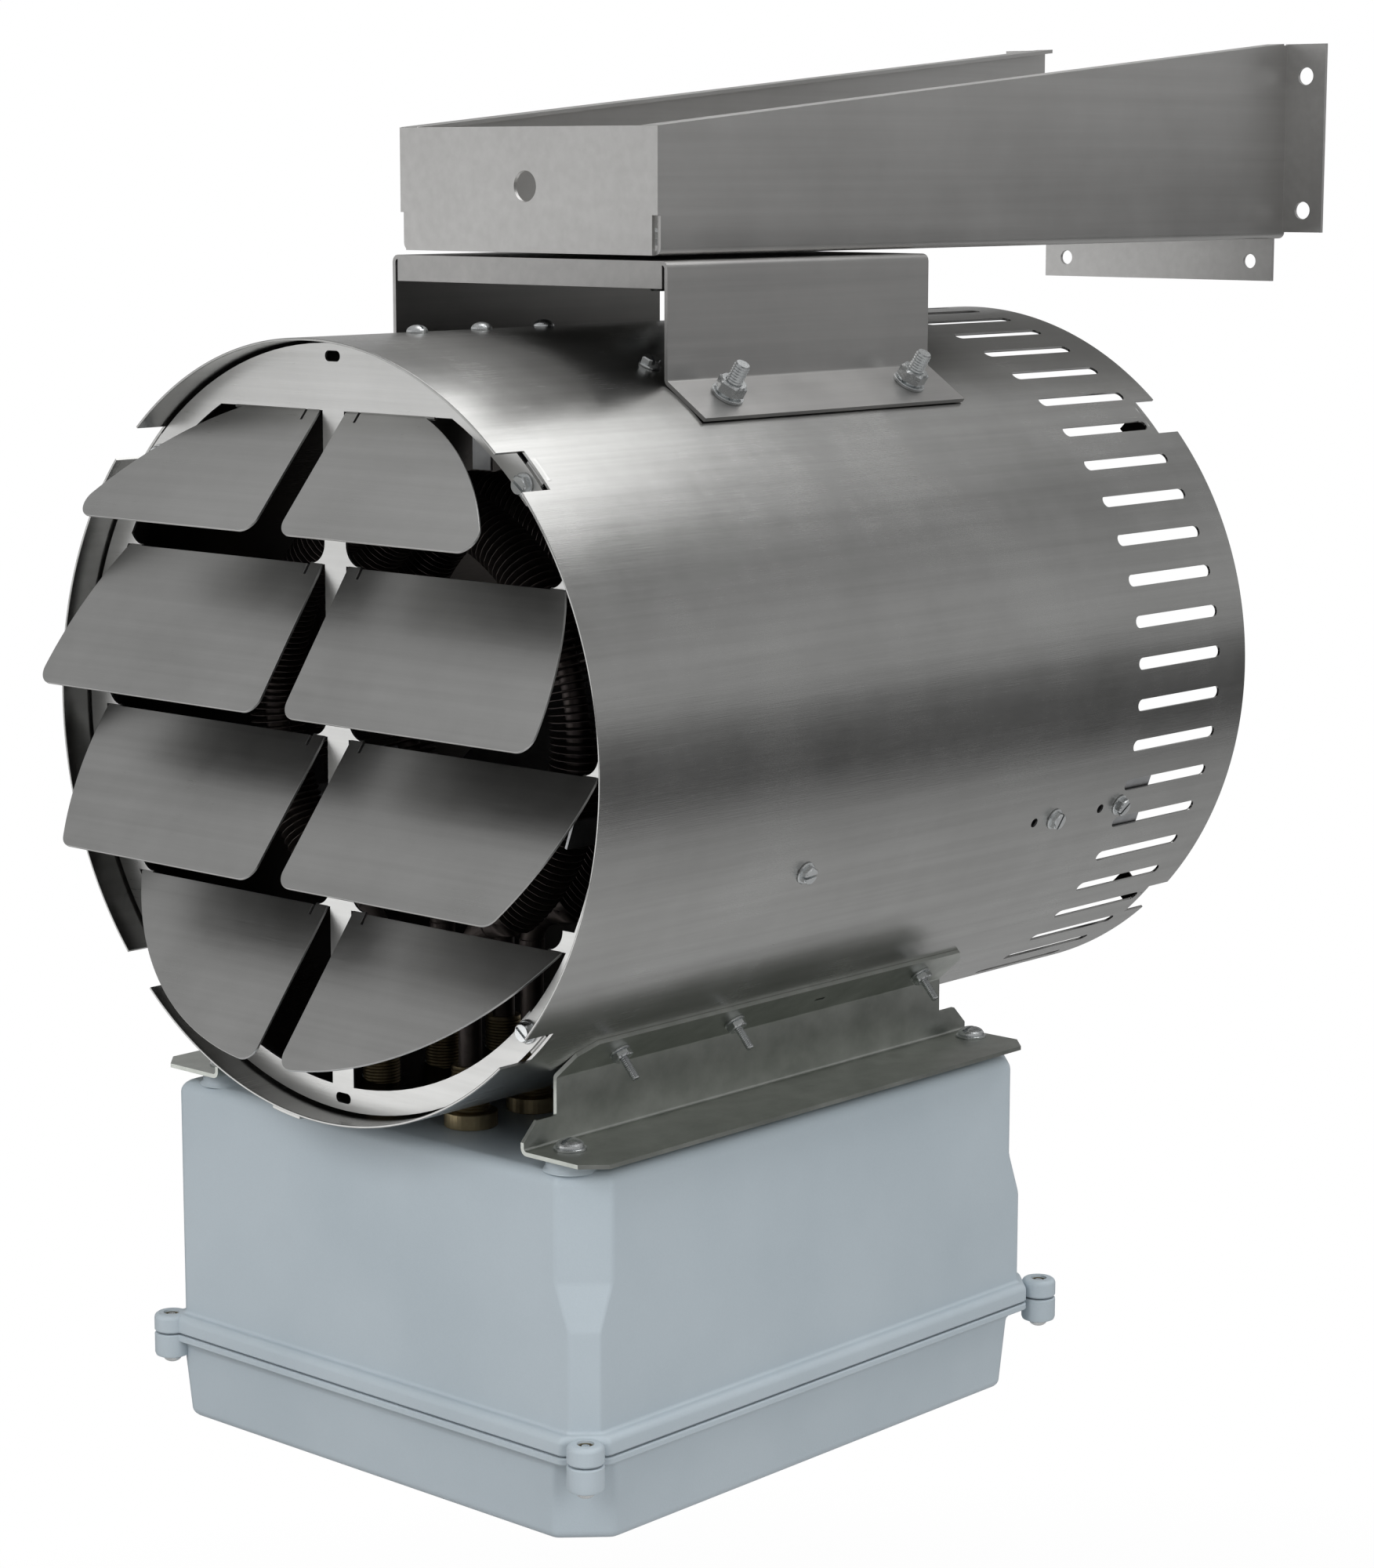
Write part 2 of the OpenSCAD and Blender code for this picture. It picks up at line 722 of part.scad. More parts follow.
// The right rail; the left one is its mirror image
module rail_shape() {
    edge_along = rail_fold_along - rail_leaf;
    edge = tangent_point(-rail_angle, rail_mid_r, -edge_along);
    flange_mid = rail_flange_low + sheet_t / 2;
    out_x = boss_x + rail_flange_reach;
    difference() {
        translate([0, rail_front, 0])
            strip([edge, [rail_web_mid, rail_fold_z], [rail_web_mid, flange_mid],
                [out_x, flange_mid]], sheet_t, rail_l);
        for (end = [0, 1])
            translate([0, rail_front + end * rail_l, 0])
                mirror([0, end, 0]) {
                    // The upper part is shorter than the flange
                    translate([0, -over, rail_flange_low + rail_web_low])
                        cube([2 * casing_r, rail_step + over, casing_r]);
                    // Cut corner of the web below the step
                    translate([0, 0, rail_flange_low + rail_web_low])
                        rotate([45, 0, 0])
                            cube([2 * casing_r, rail_web_chamfer * square_share, rail_web_chamfer * square_share],
                                center = true);
                    // Cut outer corner of the flange
                    translate([out_x, 0, rail_flange_low])
                        rotate([0, 0, 45])
                            cube([rail_chamfer * square_share, rail_chamfer * square_share, 4 * sheet_t],
                                center = true);
                    // Cut corner of the leaf
                    turned(-rail_angle)
                        translate([casing_r, rail_step, -edge_along])
                            rotate([45, 0, 0])
                                cube([6 * sheet_t, rail_leaf_chamfer * square_share,
                                    rail_leaf_chamfer * square_share], center = true);
                }
        for (y = rail_bolt_places)
            on_leaf(y)
                translate([0, 0, -over])
                    cylinder(h = sheet_t + 2 * over, r = rail_bolt_r + hole_clear);
        // Spare slit
        on_leaf(rail_front + spare_slit_share * rail_l)
            cube([sheet_t, spare_slit_l, 4 * sheet_t], center = true);
        for (y = box_ends)
            translate([boss_x, y, rail_flange_low - over])
                cylinder(h = sheet_t + 2 * over, r = box_screw_r + hole_clear);
    }
}

// Bolt place on the right rail's leaf, +Z outwards
module on_leaf(y) {
    turned(-rail_angle)
        translate([casing_r, y, -rail_bolt_along])
            rotate([0, 90, 0])
                children();
}

module rail_left() {
    color("darkgray")
        at_casing()
            mirror([1, 0, 0])
                rail_shape();
}

module rail_right() {
    color("darkgray")
        at_casing()
            rail_shape();
}

module both_sides() {
    children();
    mirror([1, 0, 0])
        children();
}

module at_rail_bolts() {
    at_casing()
        both_sides()
            for (y = rail_bolt_places)
                on_leaf(y)
                    children();
}

module rail_bolts() {
    out = sheet_t + rail_washer_t + rail_nut_h + rail_tail;
    seat = head_seat(rail_bolt_along + rail_head_r);
    color("silver")
        at_rail_bolts() {
            translate([0, 0, seat - rail_head_h])
                cylinder(h = rail_head_h, r = rail_head_r);
            translate([0, 0, seat - rail_head_h / 2])
                cylinder(h = out + rail_head_h / 2 - seat, r = rail_bolt_r);
        }
}

module rail_nuts() {
    color("silver")
        at_rail_bolts()
            translate([0, 0, sheet_t]) {
                washer(rail_washer_r, rail_bolt_r, rail_washer_t);
                translate([0, 0, rail_washer_t])
                    nut(rail_nut_flats, rail_nut_h, rail_bolt_r);
            }
}

module box_screws() {
    head_r = 6.5;
    head_h = 4;
    washer_r = 7.6;
    washer_t = 1.2;
    slot = 1.6;
    color("silver")
        at_casing()
            both_sides()
                for (y = box_ends)
                    translate([boss_x, y, rail_flange_low + sheet_t]) {
                        washer(washer_r, box_screw_r, washer_t);
                        translate([0, 0, washer_t])
                            dome_head(head_r, head_h, slot);
                        translate([0, 0, -sheet_t - boss_h])
                            cylinder(h = sheet_t + boss_h + washer_t + head_h / 3, r = box_screw_r);
                    }
}

// Louvre plate and blades
plate_front = notch_depth - louver_t;
plate_r = casing_in - louver_rim_gap;
window_r = plate_r - louver_ring_w;
bend_y = plate_front + louver_t / 2;
bends = [for (share = bend_shares) share * window_r];
blade_in = rib_w / 2 + blade_cut;
stub_r = blade_corner + blade_cut;

module beside_rib(x0, x1, z0, z1) {
    polygon([[x0, z0], [x1, z0], [x1, z1], [x0, z1]]);
}

// Stub that carries a neck: a corner with a hollow round
module stub(x_root, x_tip, z) {
    difference() {
        beside_rib(min(x_root, x_tip), max(x_root, x_tip), z, z + stub_r);
        translate([x_tip, z + stub_r])
            circle(r = stub_r);
    }
}

module window_side() {
    difference() {
        intersection() {
            circle(r = window_r);
            beside_rib(rib_w / 2, plate_r, -plate_r, bends[0]);
        }
        for (i = [1 : 3]) {
            edge_x = sqrt(pow(window_r - blade_cut, 2) - pow(bends[i], 2));
            stub(rib_w / 2 - over, rib_w / 2 + stub_r, bends[i]);
            difference() {
                beside_rib(edge_x - stub_r, plate_r, bends[i], bends[i] + stub_r);
                translate([edge_x - stub_r, bends[i] + stub_r])
                    circle(r = stub_r);
            }
        }
    }
}

module louver_plate() {
    ob_w = 9.8;
    ob_h = 4.8;
    ob_r = plate_r - louver_ring_w / 2;
    ob_round = 2.3;
    color("gainsboro")
        at_casing()
            plate_xz(plate_front, louver_t)
                difference() {
                    circle(r = plate_r);
                    window_side();
                    mirror([1, 0])
                        window_side();
                    for (end = [-1, 1])
                        polygon(rounded([
                            [-ob_w / 2, end * ob_r - ob_h / 2, ob_round],
                            [ob_w / 2, end * ob_r - ob_h / 2, ob_round],
                            [ob_w / 2, end * ob_r + ob_h / 2, ob_round],
                            [-ob_w / 2, end * ob_r + ob_h / 2, ob_round]
                        ], fold_steps));
                    for (k = [0 : 3])
                        rotate(notch_angle + 90 * k)
                            translate([plate_screw_r, 0])
                                circle(r = small_r + hole_clear);
                }
}

module louver_screws() {
    length = 11;
    color("silver")
        at_casing()
            for (k = [0 : 3])
                turned(notch_angle + 90 * k)
                    translate([plate_screw_r, plate_front, 0])
                        rotate([90, 0, 0])
                            flange_screw(length);
}

// Flat outline of a right hand blade, its bend line at zero and the blade below it
module blade_outline(i) {
    l = bends[i] - bends[i + 1] - blade_row_gap;
    r = window_r - blade_cut - (i == 0 ? blade_top_inset : 0);
    z = bends[i];
    corner = blade_corner;
    // The round where the bottom edge meets the outer arc
    low_z = z - l;
    mid_z = low_z + corner;
    in_r = r - corner;
    mid_x = sqrt(pow(in_r, 2) - pow(mid_z, 2));
    touch_x = mid_x * r / in_r;
    touch_z = mid_z * r / in_r;
    arc_end = sqrt(pow(r, 2) - pow(low_z, 2));
    slit_w = 1.5;
    slit_h = 6;
    translate([0, -z])
        difference() {
            intersection() {
                circle(r = r);
                beside_rib(blade_in, r, low_z, z - blade_hang);
            }
            // Inner lower corner
            difference() {
                beside_rib(blade_in - over, blade_in + corner, low_z - over, low_z + corner);
                translate([blade_in + corner, low_z + corner])
                    circle(r = corner);
            }
            // Outer lower corner
            difference() {
                polygon([[mid_x, low_z - over], [mid_x, mid_z], [touch_x, touch_z],
                    [touch_x + corner, touch_z], [arc_end + corner, low_z - over]]);
                translate([mid_x, mid_z])
                    circle(r = corner);
            }
            // Relief slit beside the inner neck
            beside_rib(blade_in + neck_w, blade_in + neck_w + slit_w, z - slit_h, z);
        }
}

// Shorter lowest blades end in the arc itself
module low_blade_outline() {
    z = bends[3];
    r = window_r - blade_cut;
    corner = blade_corner;
    mid_x = blade_in + corner;
    mid_z = -sqrt(pow(r - corner, 2) - pow(mid_x, 2));
    touch_x = mid_x * r / (r - corner);
    touch_z = mid_z * r / (r - corner);
    slit_w = 1.5;
    slit_h = 6;
    translate([0, -z])
        difference() {
            intersection() {
                circle(r = r);
                beside_rib(blade_in, r, -r, z - blade_hang);
            }
            difference() {
                polygon([[blade_in - over, mid_z], [mid_x, mid_z], [touch_x, touch_z],
                    [touch_x, -r - over], [blade_in - over, -r - over]]);
                translate([mid_x, mid_z])
                    circle(r = corner);
            }
            beside_rib(blade_in + neck_w, blade_in + neck_w + slit_w, z - slit_h, z);
        }
}

module blade(i, side) {
    color("gainsboro")
        at_casing()
            mirror([(1 - side) / 2, 0, 0])
                translate([0, bend_y, bends[i]])
                    rotate([-blade_angles[i], 0, 0])
                        plate_xz(-louver_t / 2, louver_t)
                            if (i == 3)
                                low_blade_outline();
                            else
                                blade_outline(i);
}

module blade_1_left() { blade(0, -1); }
module blade_1_right() { blade(0, 1); }
module blade_2_left() { blade(1, -1); }
module blade_2_right() { blade(1, 1); }
module blade_3_left() { blade(2, -1); }
module blade_3_right() { blade(2, 1); }
module blade_4_left() { blade(3, -1); }
module blade_4_right() { blade(3, 1); }

// Motor, cradle and fan
cradle_foot = 13;
cradle_drop = 17;
cradle_t = 2;
cradle_l = 104;
cradle_y = 306;
cradle_r = sqrt(pow(casing_in, 2) - pow(cradle_drop, 2)) - screw_clear - cradle_t / 2;
cradle_low = tangent_point(-cradle_angle, cradle_r, -cradle_drop);
cradle_high = tangent_point(-cradle_angle, cradle_r, cradle_foot);
deck_z = cradle_low[1] + cradle_t / 2;
motor_foot_w = 96;
motor_foot_l = 84;
motor_foot_t = 5;
motor_foot_y = cradle_y + (cradle_l - motor_foot_l) / 2;
motor_bolt_x = 40;
motor_bolt_y = 32;
motor_bolt_r = 3;
bell_l = 18;
bell_in = 6;
bell_r = motor_r - bell_in;
nose_r = 20;
nose_l = 8;

module motor() {
    color("dimgray")
        at_casing()
            difference() {
                union() {
                    bar_y(motor_y + bell_l, motor_l - 2 * bell_l, motor_r);
                    bar_y(motor_y, motor_l, bell_r);
                    bar_y(motor_y - nose_l, nose_l, nose_r);
                    // Foot with its web
                    translate([-motor_foot_w / 2, motor_foot_y, deck_z])
                        cube([motor_foot_w, motor_foot_l, motor_foot_t]);
                    translate([-motor_foot_w / 4, motor_foot_y, deck_z])
                        cube([motor_foot_w / 2, motor_foot_l, -deck_z - motor_r / 2]);
                }
                bar_y(motor_y - nose_l - over, motor_l / 2, shaft_r + shaft_clear);
                for (side = [-1, 1], end = [-1, 1])
                    translate([side * motor_bolt_x, motor_foot_y + motor_foot_l / 2 + end * motor_bolt_y,
                            deck_z - over])
                        cylinder(h = motor_foot_t + 2 * over, r = motor_bolt_r + hole_clear);
            }
}

module motor_cradle() {
    color("darkgray")
        at_casing()
            difference() {
                translate([0, cradle_y, 0])
                    strip([[-cradle_high[0], cradle_high[1]], [-cradle_low[0], cradle_low[1]],
                        cradle_low, cradle_high], cradle_t, cradle_l);
                for (side = [-1, 1], end = [-1, 1])
                    translate([side * motor_bolt_x, motor_foot_y + motor_foot_l / 2 + end * motor_bolt_y,
                            deck_z - cradle_t - over])
                        cylinder(h = cradle_t + 2 * over, r = motor_bolt_r + hole_clear);
                for (side = [0, 1], y = cradle_screw_places)
                    on_round(side * 180 + (1 - 2 * side) * -cradle_angle, y, cradle_r - cradle_t)
                        cylinder(h = 2 * cradle_t, r = small_r + screw_clear);
            }
}

module cradle_screws() {
    length = 12;
    color("silver")
        at_casing()
            for (side = [0, 1], y = cradle_screw_places)
                on_round(side * 180 + (1 - 2 * side) * -cradle_angle, y, casing_r)
                    flange_screw(length);
}

module motor_bolts() {
    flats = 10;
    head_h = 4;
    tail = 3;
    color("silver")
        at_casing()
            for (side = [-1, 1], end = [-1, 1])
                translate([side * motor_bolt_x, motor_foot_y + motor_foot_l / 2 + end * motor_bolt_y,
                        deck_z + motor_foot_t]) {
                    hexagon(flats, head_h);
                    translate([0, 0, -motor_foot_t - cradle_t - head_h - tail])
                        cylinder(h = motor_foot_t + cradle_t + head_h + tail, r = motor_bolt_r);
                    translate([0, 0, -motor_foot_t - cradle_t - head_h])
                        hexagon(flats, head_h);
                }
}

fan_r = casing_in - fan_tip_gap;
wheel_t = 2.5;
wheel_disc_r = 44;
hub_r = 19;
hub_l = 26;
hub_flange_r = 30;
hub_flange_t = 5;

module motor_shaft() {
    nose = 6;
    color("silver")
        at_casing()
            bar_y(fan_y - nose, motor_y + motor_l / 3 - fan_y + nose, shaft_r);
}

module fan_hub() {
    color("darkgray")
        at_casing()
            difference() {
                union() {
                    bar_y(fan_y + wheel_t, hub_flange_t, hub_flange_r);
                    bar_y(fan_y + wheel_t, hub_l, hub_r);
                }
                bar_y(fan_y, hub_l + wheel_t + over, shaft_r + shaft_clear);
            }
}

module fan_wheel() {
    blade_w = 96;
    blade_t = 2;
    root_r = 30;
    color("dimgray")
        at_casing()
            difference() {
                intersection() {
                    union() {
                        bar_y(fan_y, wheel_t, wheel_disc_r);
                        for (k = [0 : fan_blade_count - 1])
                            turned(k * 360 / fan_blade_count)
                                translate([root_r, fan_y, 0])
                                    rotate([fan_angle, 0, 0])
                                        translate([0, 0, -blade_w / 2])
                                            cube([fan_r, blade_t, blade_w]);
                    }
                    bar_y(fan_y - blade_w / 2, blade_w, fan_r);
                }
                bar_y(fan_y - over, wheel_t + 2 * over, shaft_r + shaft_clear);
                // The blades stay clear of the hub
                bar_y(fan_y + wheel_t, blade_w, hub_flange_r + over);
            }
}

// Heating elements, each an open ring with two legs down into the box
bend_far = element_ring_r + leg_bend;
bend_x = leg_spacing / 2 + leg_bend;
bend_z = -sqrt(pow(bend_far, 2) - pow(bend_x, 2));
ring_end = atan2(bend_z, bend_x);
cold_angle = 12;
lap_in_angle = 1;
sleeve_r = 6.1;
sleeve_l = 6;
leg_reach = 14;
leg_low = box_top - box_t - leg_reach;

module element(y) {
    color("dimgray")
        at_casing()
            translate([0, y, 0])
                rotate([90, 0, 0]) {
                    // Finned part of the ring
                    rotate([0, 0, ring_end + cold_angle])
                        rotate_extrude(angle = 180 - 2 * (ring_end + cold_angle))
                            translate([element_ring_r, 0])
                                circle(r = fin_r, $fn = 24);
                    // Bare ends of the ring
                    for (side = [0, 1])
                        mirror([side, 0, 0]) {
                            rotate([0, 0, ring_end])
                                rotate_extrude(angle = cold_angle + lap_in_angle)
                                    translate([element_ring_r, 0])
                                        circle(r = sheath_r, $fn = 24);
                            // Swaged sleeves at the ends of the bends
                            rotate([0, 0, ring_end])
                                translate([element_ring_r, 0, 0])
                                    rotate([90, 0, 0])
                                        cylinder(h = sleeve_l, r = sleeve_r, center = true, $fn = 24);
                            translate([leg_spacing / 2, bend_z, 0])
                                rotate([90, 0, 0])
                                    cylinder(h = sleeve_l, r = sleeve_r, center = true, $fn = 24);
                            translate([bend_x, bend_z, 0])
                                rotate([0, 0, 180 + ring_end])
                                    rotate_extrude(angle = -ring_end)
                                        translate([leg_bend, 0])
                                            circle(r = sheath_r, $fn = 24);
                            translate([leg_spacing / 2, leg_low, 0])
                                rotate([-90, 0, 0])
                                    cylinder(h = bend_z - leg_low, r = sheath_r, $fn = 24);
                        }
                }
}

module element_front() { element(element_places[0]); }
module element_middle() { element(element_places[1]); }
module element_rear() { element(element_places[2]); }

hanger_w = 12;
hanger_t = 1.5;

// Distance from the axis at which a flat piece of this width just fits inside the casing
function flat_fit(w) = sqrt(pow(casing_in, 2) - pow(w / 2, 2));

module element_hangers() {
    low = element_ring_r + fin_r;
    top = flat_fit(hanger_w);
    color("darkgray")
        at_casing()
            difference() {
                for (y = element_places) {
                    translate([-hanger_w / 2, y - hanger_t / 2, low])
                        cube([hanger_w, hanger_t, top - low]);
                    translate([-hanger_w / 2, y - hanger_w / 2, top - 2 * hanger_t])
                        cube([hanger_w, hanger_w, 2 * hanger_t]);
                }
                for (y = element_places)
                    translate([0, y, casing_in - hanger_w])
                        cylinder(h = hanger_w + over, r = small_r + screw_clear);
            }
}

module hanger_screws() {
    head_r = 5;
    head_h = 3.6;
    length = 10;
    slot = 1.2;
    color("silver")
        at_casing()
            for (y = element_places)
                translate([0, y, casing_r]) {
                    dome_head(head_r, head_h, slot);
                    translate([0, 0, -length])
                        cylinder(h = length + head_h / 3, r = small_r);
                }
}

// Stays that steady the rings at the sides
stay_t = 1.5;
stay_w = 14;

module stay() {
    low = element_ring_r + fin_r;
    top = flat_fit(stay_w);
    first = element_places[0] - fin_r;
    last = element_places[len(element_places) - 1] + fin_r;
    difference() {
        union() {
            // Bar along the rings
            translate([low, first, -stay_w / 2])
                cube([stay_t, last - first, stay_w]);
            // Web out to the casing
            translate([low, side_screw_y - stay_w, -stay_w / 2])
                cube([top - low, stay_t, stay_w]);
            // Foot under the screw
            translate([top - 2 * stay_t, side_screw_y - stay_w, -stay_w / 2])
                cube([2 * stay_t, 2 * stay_w, stay_w]);
        }
        translate([top - stay_w, side_screw_y, 0])
            rotate([0, 90, 0])
                cylinder(h = stay_w + over, r = small_r + screw_clear);
    }
}

module element_stays() {
    color("darkgray")
        at_casing()
            both_sides()
                turned(side_screw_angle)
                    stay();
}

module stay_screws() {
    length = 10;
    color("silver")
        at_casing()
            both_sides()
                on_round(side_screw_angle, side_screw_y, casing_r)
                    flange_screw(length);
}

// Fittings that carry the legs through casing and box
fitting_r = 12.5;
fitting_nut_h = 5;
fitting_flats = 23;

module element_fittings() {
    rise = 20;
    collar_top = -casing_r - casing_t - hole_clear;
    color("goldenrod")
        at_casing()
            for (side = [-1, 1], y = element_places)
                translate([side * leg_spacing / 2, y, 0])
                    difference() {
                        union() {
                            translate([0, 0, box_top - box_t - fitting_nut_h])
                                cylinder(h = box_t + fitting_nut_h + box_gap + rise, r = leg_thread_r);
                            translate([0, 0, box_top])
                                cylinder(h = collar_top - box_top, r = fitting_r);
                            translate([0, 0, box_top - box_t - fitting_nut_h])
                                hexagon(fitting_flats, fitting_nut_h);
                        }
                        translate([0, 0, leg_low])
                            cylinder(h = -leg_low, r = sheath_r);
                    }
}

// Over-temperature cut-out inside the casing
module cutout() {
    body_r = 9;
    body_h = 12;
    strap_w = 12;
    strap_l = 36;
    strap_t = 2;
    top = flat_fit(strap_w);
    color("white")
        at_casing()
            turned(cutout_angle)
                difference() {
                    union() {
                        translate([top - strap_t, side_screw_y - strap_l + strap_w / 2, -strap_w / 2])
                            cube([strap_t, strap_l, strap_w]);
                        translate([top - body_h, side_screw_y - strap_l + strap_w, 0])
                            rotate([0, 90, 0])
                                cylinder(h = body_h - strap_t / 2, r = body_r);
                    }
                    translate([top - body_h, side_screw_y, 0])
                        rotate([0, 90, 0])
                            cylinder(h = body_h + over, r = small_r + screw_clear);
                }
}

module cutout_screw() {
    length = 8;
    color("silver")
        at_casing()
            on_round(cutout_angle, side_screw_y, casing_r)
                flange_screw(length);
}

// Control box
box_low = box_top - box_h;
box_mid_y = box_front + box_l / 2;
ear_out = 3.5;
ear_x = box_w / 2 + ear_out;
ear_y = box_l / 2 + ear_out;
insert_r = 4;
insert_h = 8;
insert_bore = 2.8;
cut_from = 50;
cut_to = 71;
blunt_cut = 2;
cut_corners = [[1, -1], [1, 1], [-1, 1]];
pad_r = 7;
pad_h = 6;
panel_x = 100;
panel_front = 178;
panel_in = 34;
panel_rear = box_front + box_l - panel_in;

// Rectangle round the box's middle with three cut corners; the front left one is only blunted
module cut_rect(w, l, cut) {
    polygon([
        [-w / 2 + blunt_cut, -l / 2], [w / 2 - cut, -l / 2], [w / 2, -l / 2 + cut], [w / 2, l / 2 - cut],
        [w / 2 - cut, l / 2], [-w / 2 + cut, l / 2], [-w / 2, l / 2 - cut], [-w / 2, -l / 2 + blunt_cut]
    ]);
}

module box_slab(z0, z1, w, l, cut) {
    translate([0, box_mid_y, z0])
        linear_extrude(z1 - z0)
            cut_rect(w, l, cut);
}

module four_corners(x, y) {
    for (sx = [-1, 1], sy = [-1, 1])
        translate([sx * x, box_mid_y + sy * y, 0])
            children();
}

// Cuts of the corners: wide above, sloping to the narrow cut of the slab below
module corner_cuts() {
    reach = 2 * box_cut_top;
    wide = box_cut_top / sqrt(2);
    narrow = box_cut_low / sqrt(2);
    for (side = cut_corners)
        translate([side[0] * box_w / 2, box_mid_y + side[1] * box_l / 2, 0])
            mirror([(1 - side[0]) / 2, 0, 0])
                mirror([0, (1 - side[1]) / 2, 0])
                    rotate([90, 0, 45])
                        translate([0, 0, -reach])
                            linear_extrude(2 * reach)
                                polygon([
                                    [-wide, box_top + over], [-wide, box_top - cut_from],
                                    [wide - 2 * narrow, box_top + cut_from - 2 * cut_to],
                                    [reach, box_top + cut_from - 2 * cut_to], [reach, box_top + over]
                                ]);
}

module control_box() {
    inner_w = box_w - 2 * box_t;
    inner_l = box_l - 2 * box_t;
    color("lightsteelblue")
        at_casing()
            difference() {
                union() {
                    difference() {
                        box_slab(box_low, box_top, box_w, box_l, box_cut_low);
                        corner_cuts();
                    }
                    box_slab(box_low, box_low + rim_h, box_w + 2 * rim_out, box_l + 2 * rim_out,
                        box_cut_low + rim_out);
                    four_corners(ear_x, ear_y)
                        translate([0, 0, box_low])
                            cylinder(h = rim_h, r = ear_r);
                    for (side = [-1, 1], y = box_ends)
                        translate([side * boss_x, y, box_top - over])
                            cylinder(h = boss_h + over, r = boss_r);
                }
                difference() {
                    box_slab(box_low - over, box_top - box_t, inner_w, inner_l, box_cut_top);
                    // Pads that carry the panel
                    for (sx = [-1, 1], y = [panel_front + pad_r, panel_rear - pad_r])
                        translate([sx * (panel_x - pad_r), y, box_top - box_t - pad_h])
                            cylinder(h = pad_h + over, r = pad_r);
                }
                for (side = [-1, 1], y = box_ends)
                    translate([side * boss_x, y, box_top])
                        cylinder(h = boss_h + over, r = box_screw_r + screw_clear);
                four_corners(ear_x, ear_y)
                    translate([0, 0, box_low - over])
                        cylinder(h = rim_h + 2 * over, r = insert_r);
                for (side = [-1, 1], y = element_places)
                    translate([side * leg_spacing / 2, y, box_top - box_t - over])
                        cylinder(h = box_t + 2 * over, r = leg_thread_r + hole_clear);
                for (sx = [-1, 1], y = [panel_front + pad_r, panel_rear - pad_r])
                    translate([sx * (panel_x - pad_r), y, box_top - box_t - pad_h - over])
                        cylinder(h = pad_h, r = small_r + screw_clear);
            }
}

module box_inserts() {
    color("goldenrod")
        at_casing()
            four_corners(ear_x, ear_y)
                translate([0, 0, box_low])
                    washer(insert_r, insert_bore, insert_h);
}

// Panel and what is on it
panel_t = 1.6;
panel_top = box_top - box_t - pad_h;
panel_low = panel_top - panel_t;

module panel() {
    color("gainsboro")
        at_casing()
            difference() {
                translate([-panel_x, panel_front, panel_low])
                    cube([2 * panel_x, panel_rear - panel_front, panel_t]);
                for (sx = [-1, 1], y = [panel_front + pad_r, panel_rear - pad_r])
                    translate([sx * (panel_x - pad_r), y, panel_low - over])
                        cylinder(h = panel_t + 2 * over, r = small_r + hole_clear);
            }
}

module panel_screws() {
    length = 6;
    color("silver")
        at_casing()
            for (sx = [-1, 1], y = [panel_front + pad_r, panel_rear - pad_r])
                translate([sx * (panel_x - pad_r), y, panel_low])
                    rotate([180, 0, 0])
                        flange_screw(length);
}

module hung_block(x, y, w, l, h) {
    translate([x - w / 2, y - l / 2, panel_low - h])
        cube([w, l, h]);
}

contactor_w = 76;
contactor_l = 54;
contactor_h = 68;
contactor_x = -46;
transformer_w = 64;
transformer_l = 52;
transformer_h = 52;
transformer_x = 42;
device_edge = 6;
contactor_y = panel_rear - device_edge - contactor_l / 2;
transformer_y = panel_rear - device_edge - transformer_l / 2;
block_w = 96;
block_l = 22;
block_h = 24;
block_x = -26;
block_y = panel_front + device_edge + block_l / 2;
earth_w = 44;
earth_l = 12;
earth_h = 10;
earth_x = 60;

module contactor() {
    neck = 6;
    color("dimgray")
        at_casing() {
            hung_block(contactor_x, contactor_y, contactor_w, contactor_l, contactor_h - 3 * neck);
            hung_block(contactor_x, contactor_y, contactor_w, contactor_l - 4 * neck, contactor_h);
        }
}

module transformer() {
    frame_l = 22;
    color("peru")
        at_casing() {
            hung_block(transformer_x, transformer_y, transformer_w - frame_l / 4, transformer_l,
                transformer_h - frame_l / 2);
            hung_block(transformer_x, transformer_y, transformer_w, frame_l, transformer_h);
        }
}

module terminal_block() {
    pole_count = 6;
    groove_w = 2;
    color("white")
        at_casing()
            difference() {
                hung_block(block_x, block_y, block_w, block_l, block_h);
                for (k = [1 : pole_count - 1])
                    translate([block_x - block_w / 2 + k * block_w / pole_count - groove_w / 2,
                            block_y - block_l / 2 - over, panel_low - block_h - over])
                        cube([groove_w, block_l + 2 * over, block_h / 3 + over]);
            }
}

module earth_bar() {
    color("darkkhaki")
        at_casing()
            hung_block(earth_x, block_y, earth_w, earth_l, earth_h);
}

// Lid with its gasket and captive screws
gasket_t = 0.8;
gasket_w = 5;
lid_top = box_low - gasket_t;
lid_low = lid_top - lid_h;
lid_cut = 20;
lid_rim_h = 6;
lid_ear_h = 12;
lid_screw_r = 2.4;

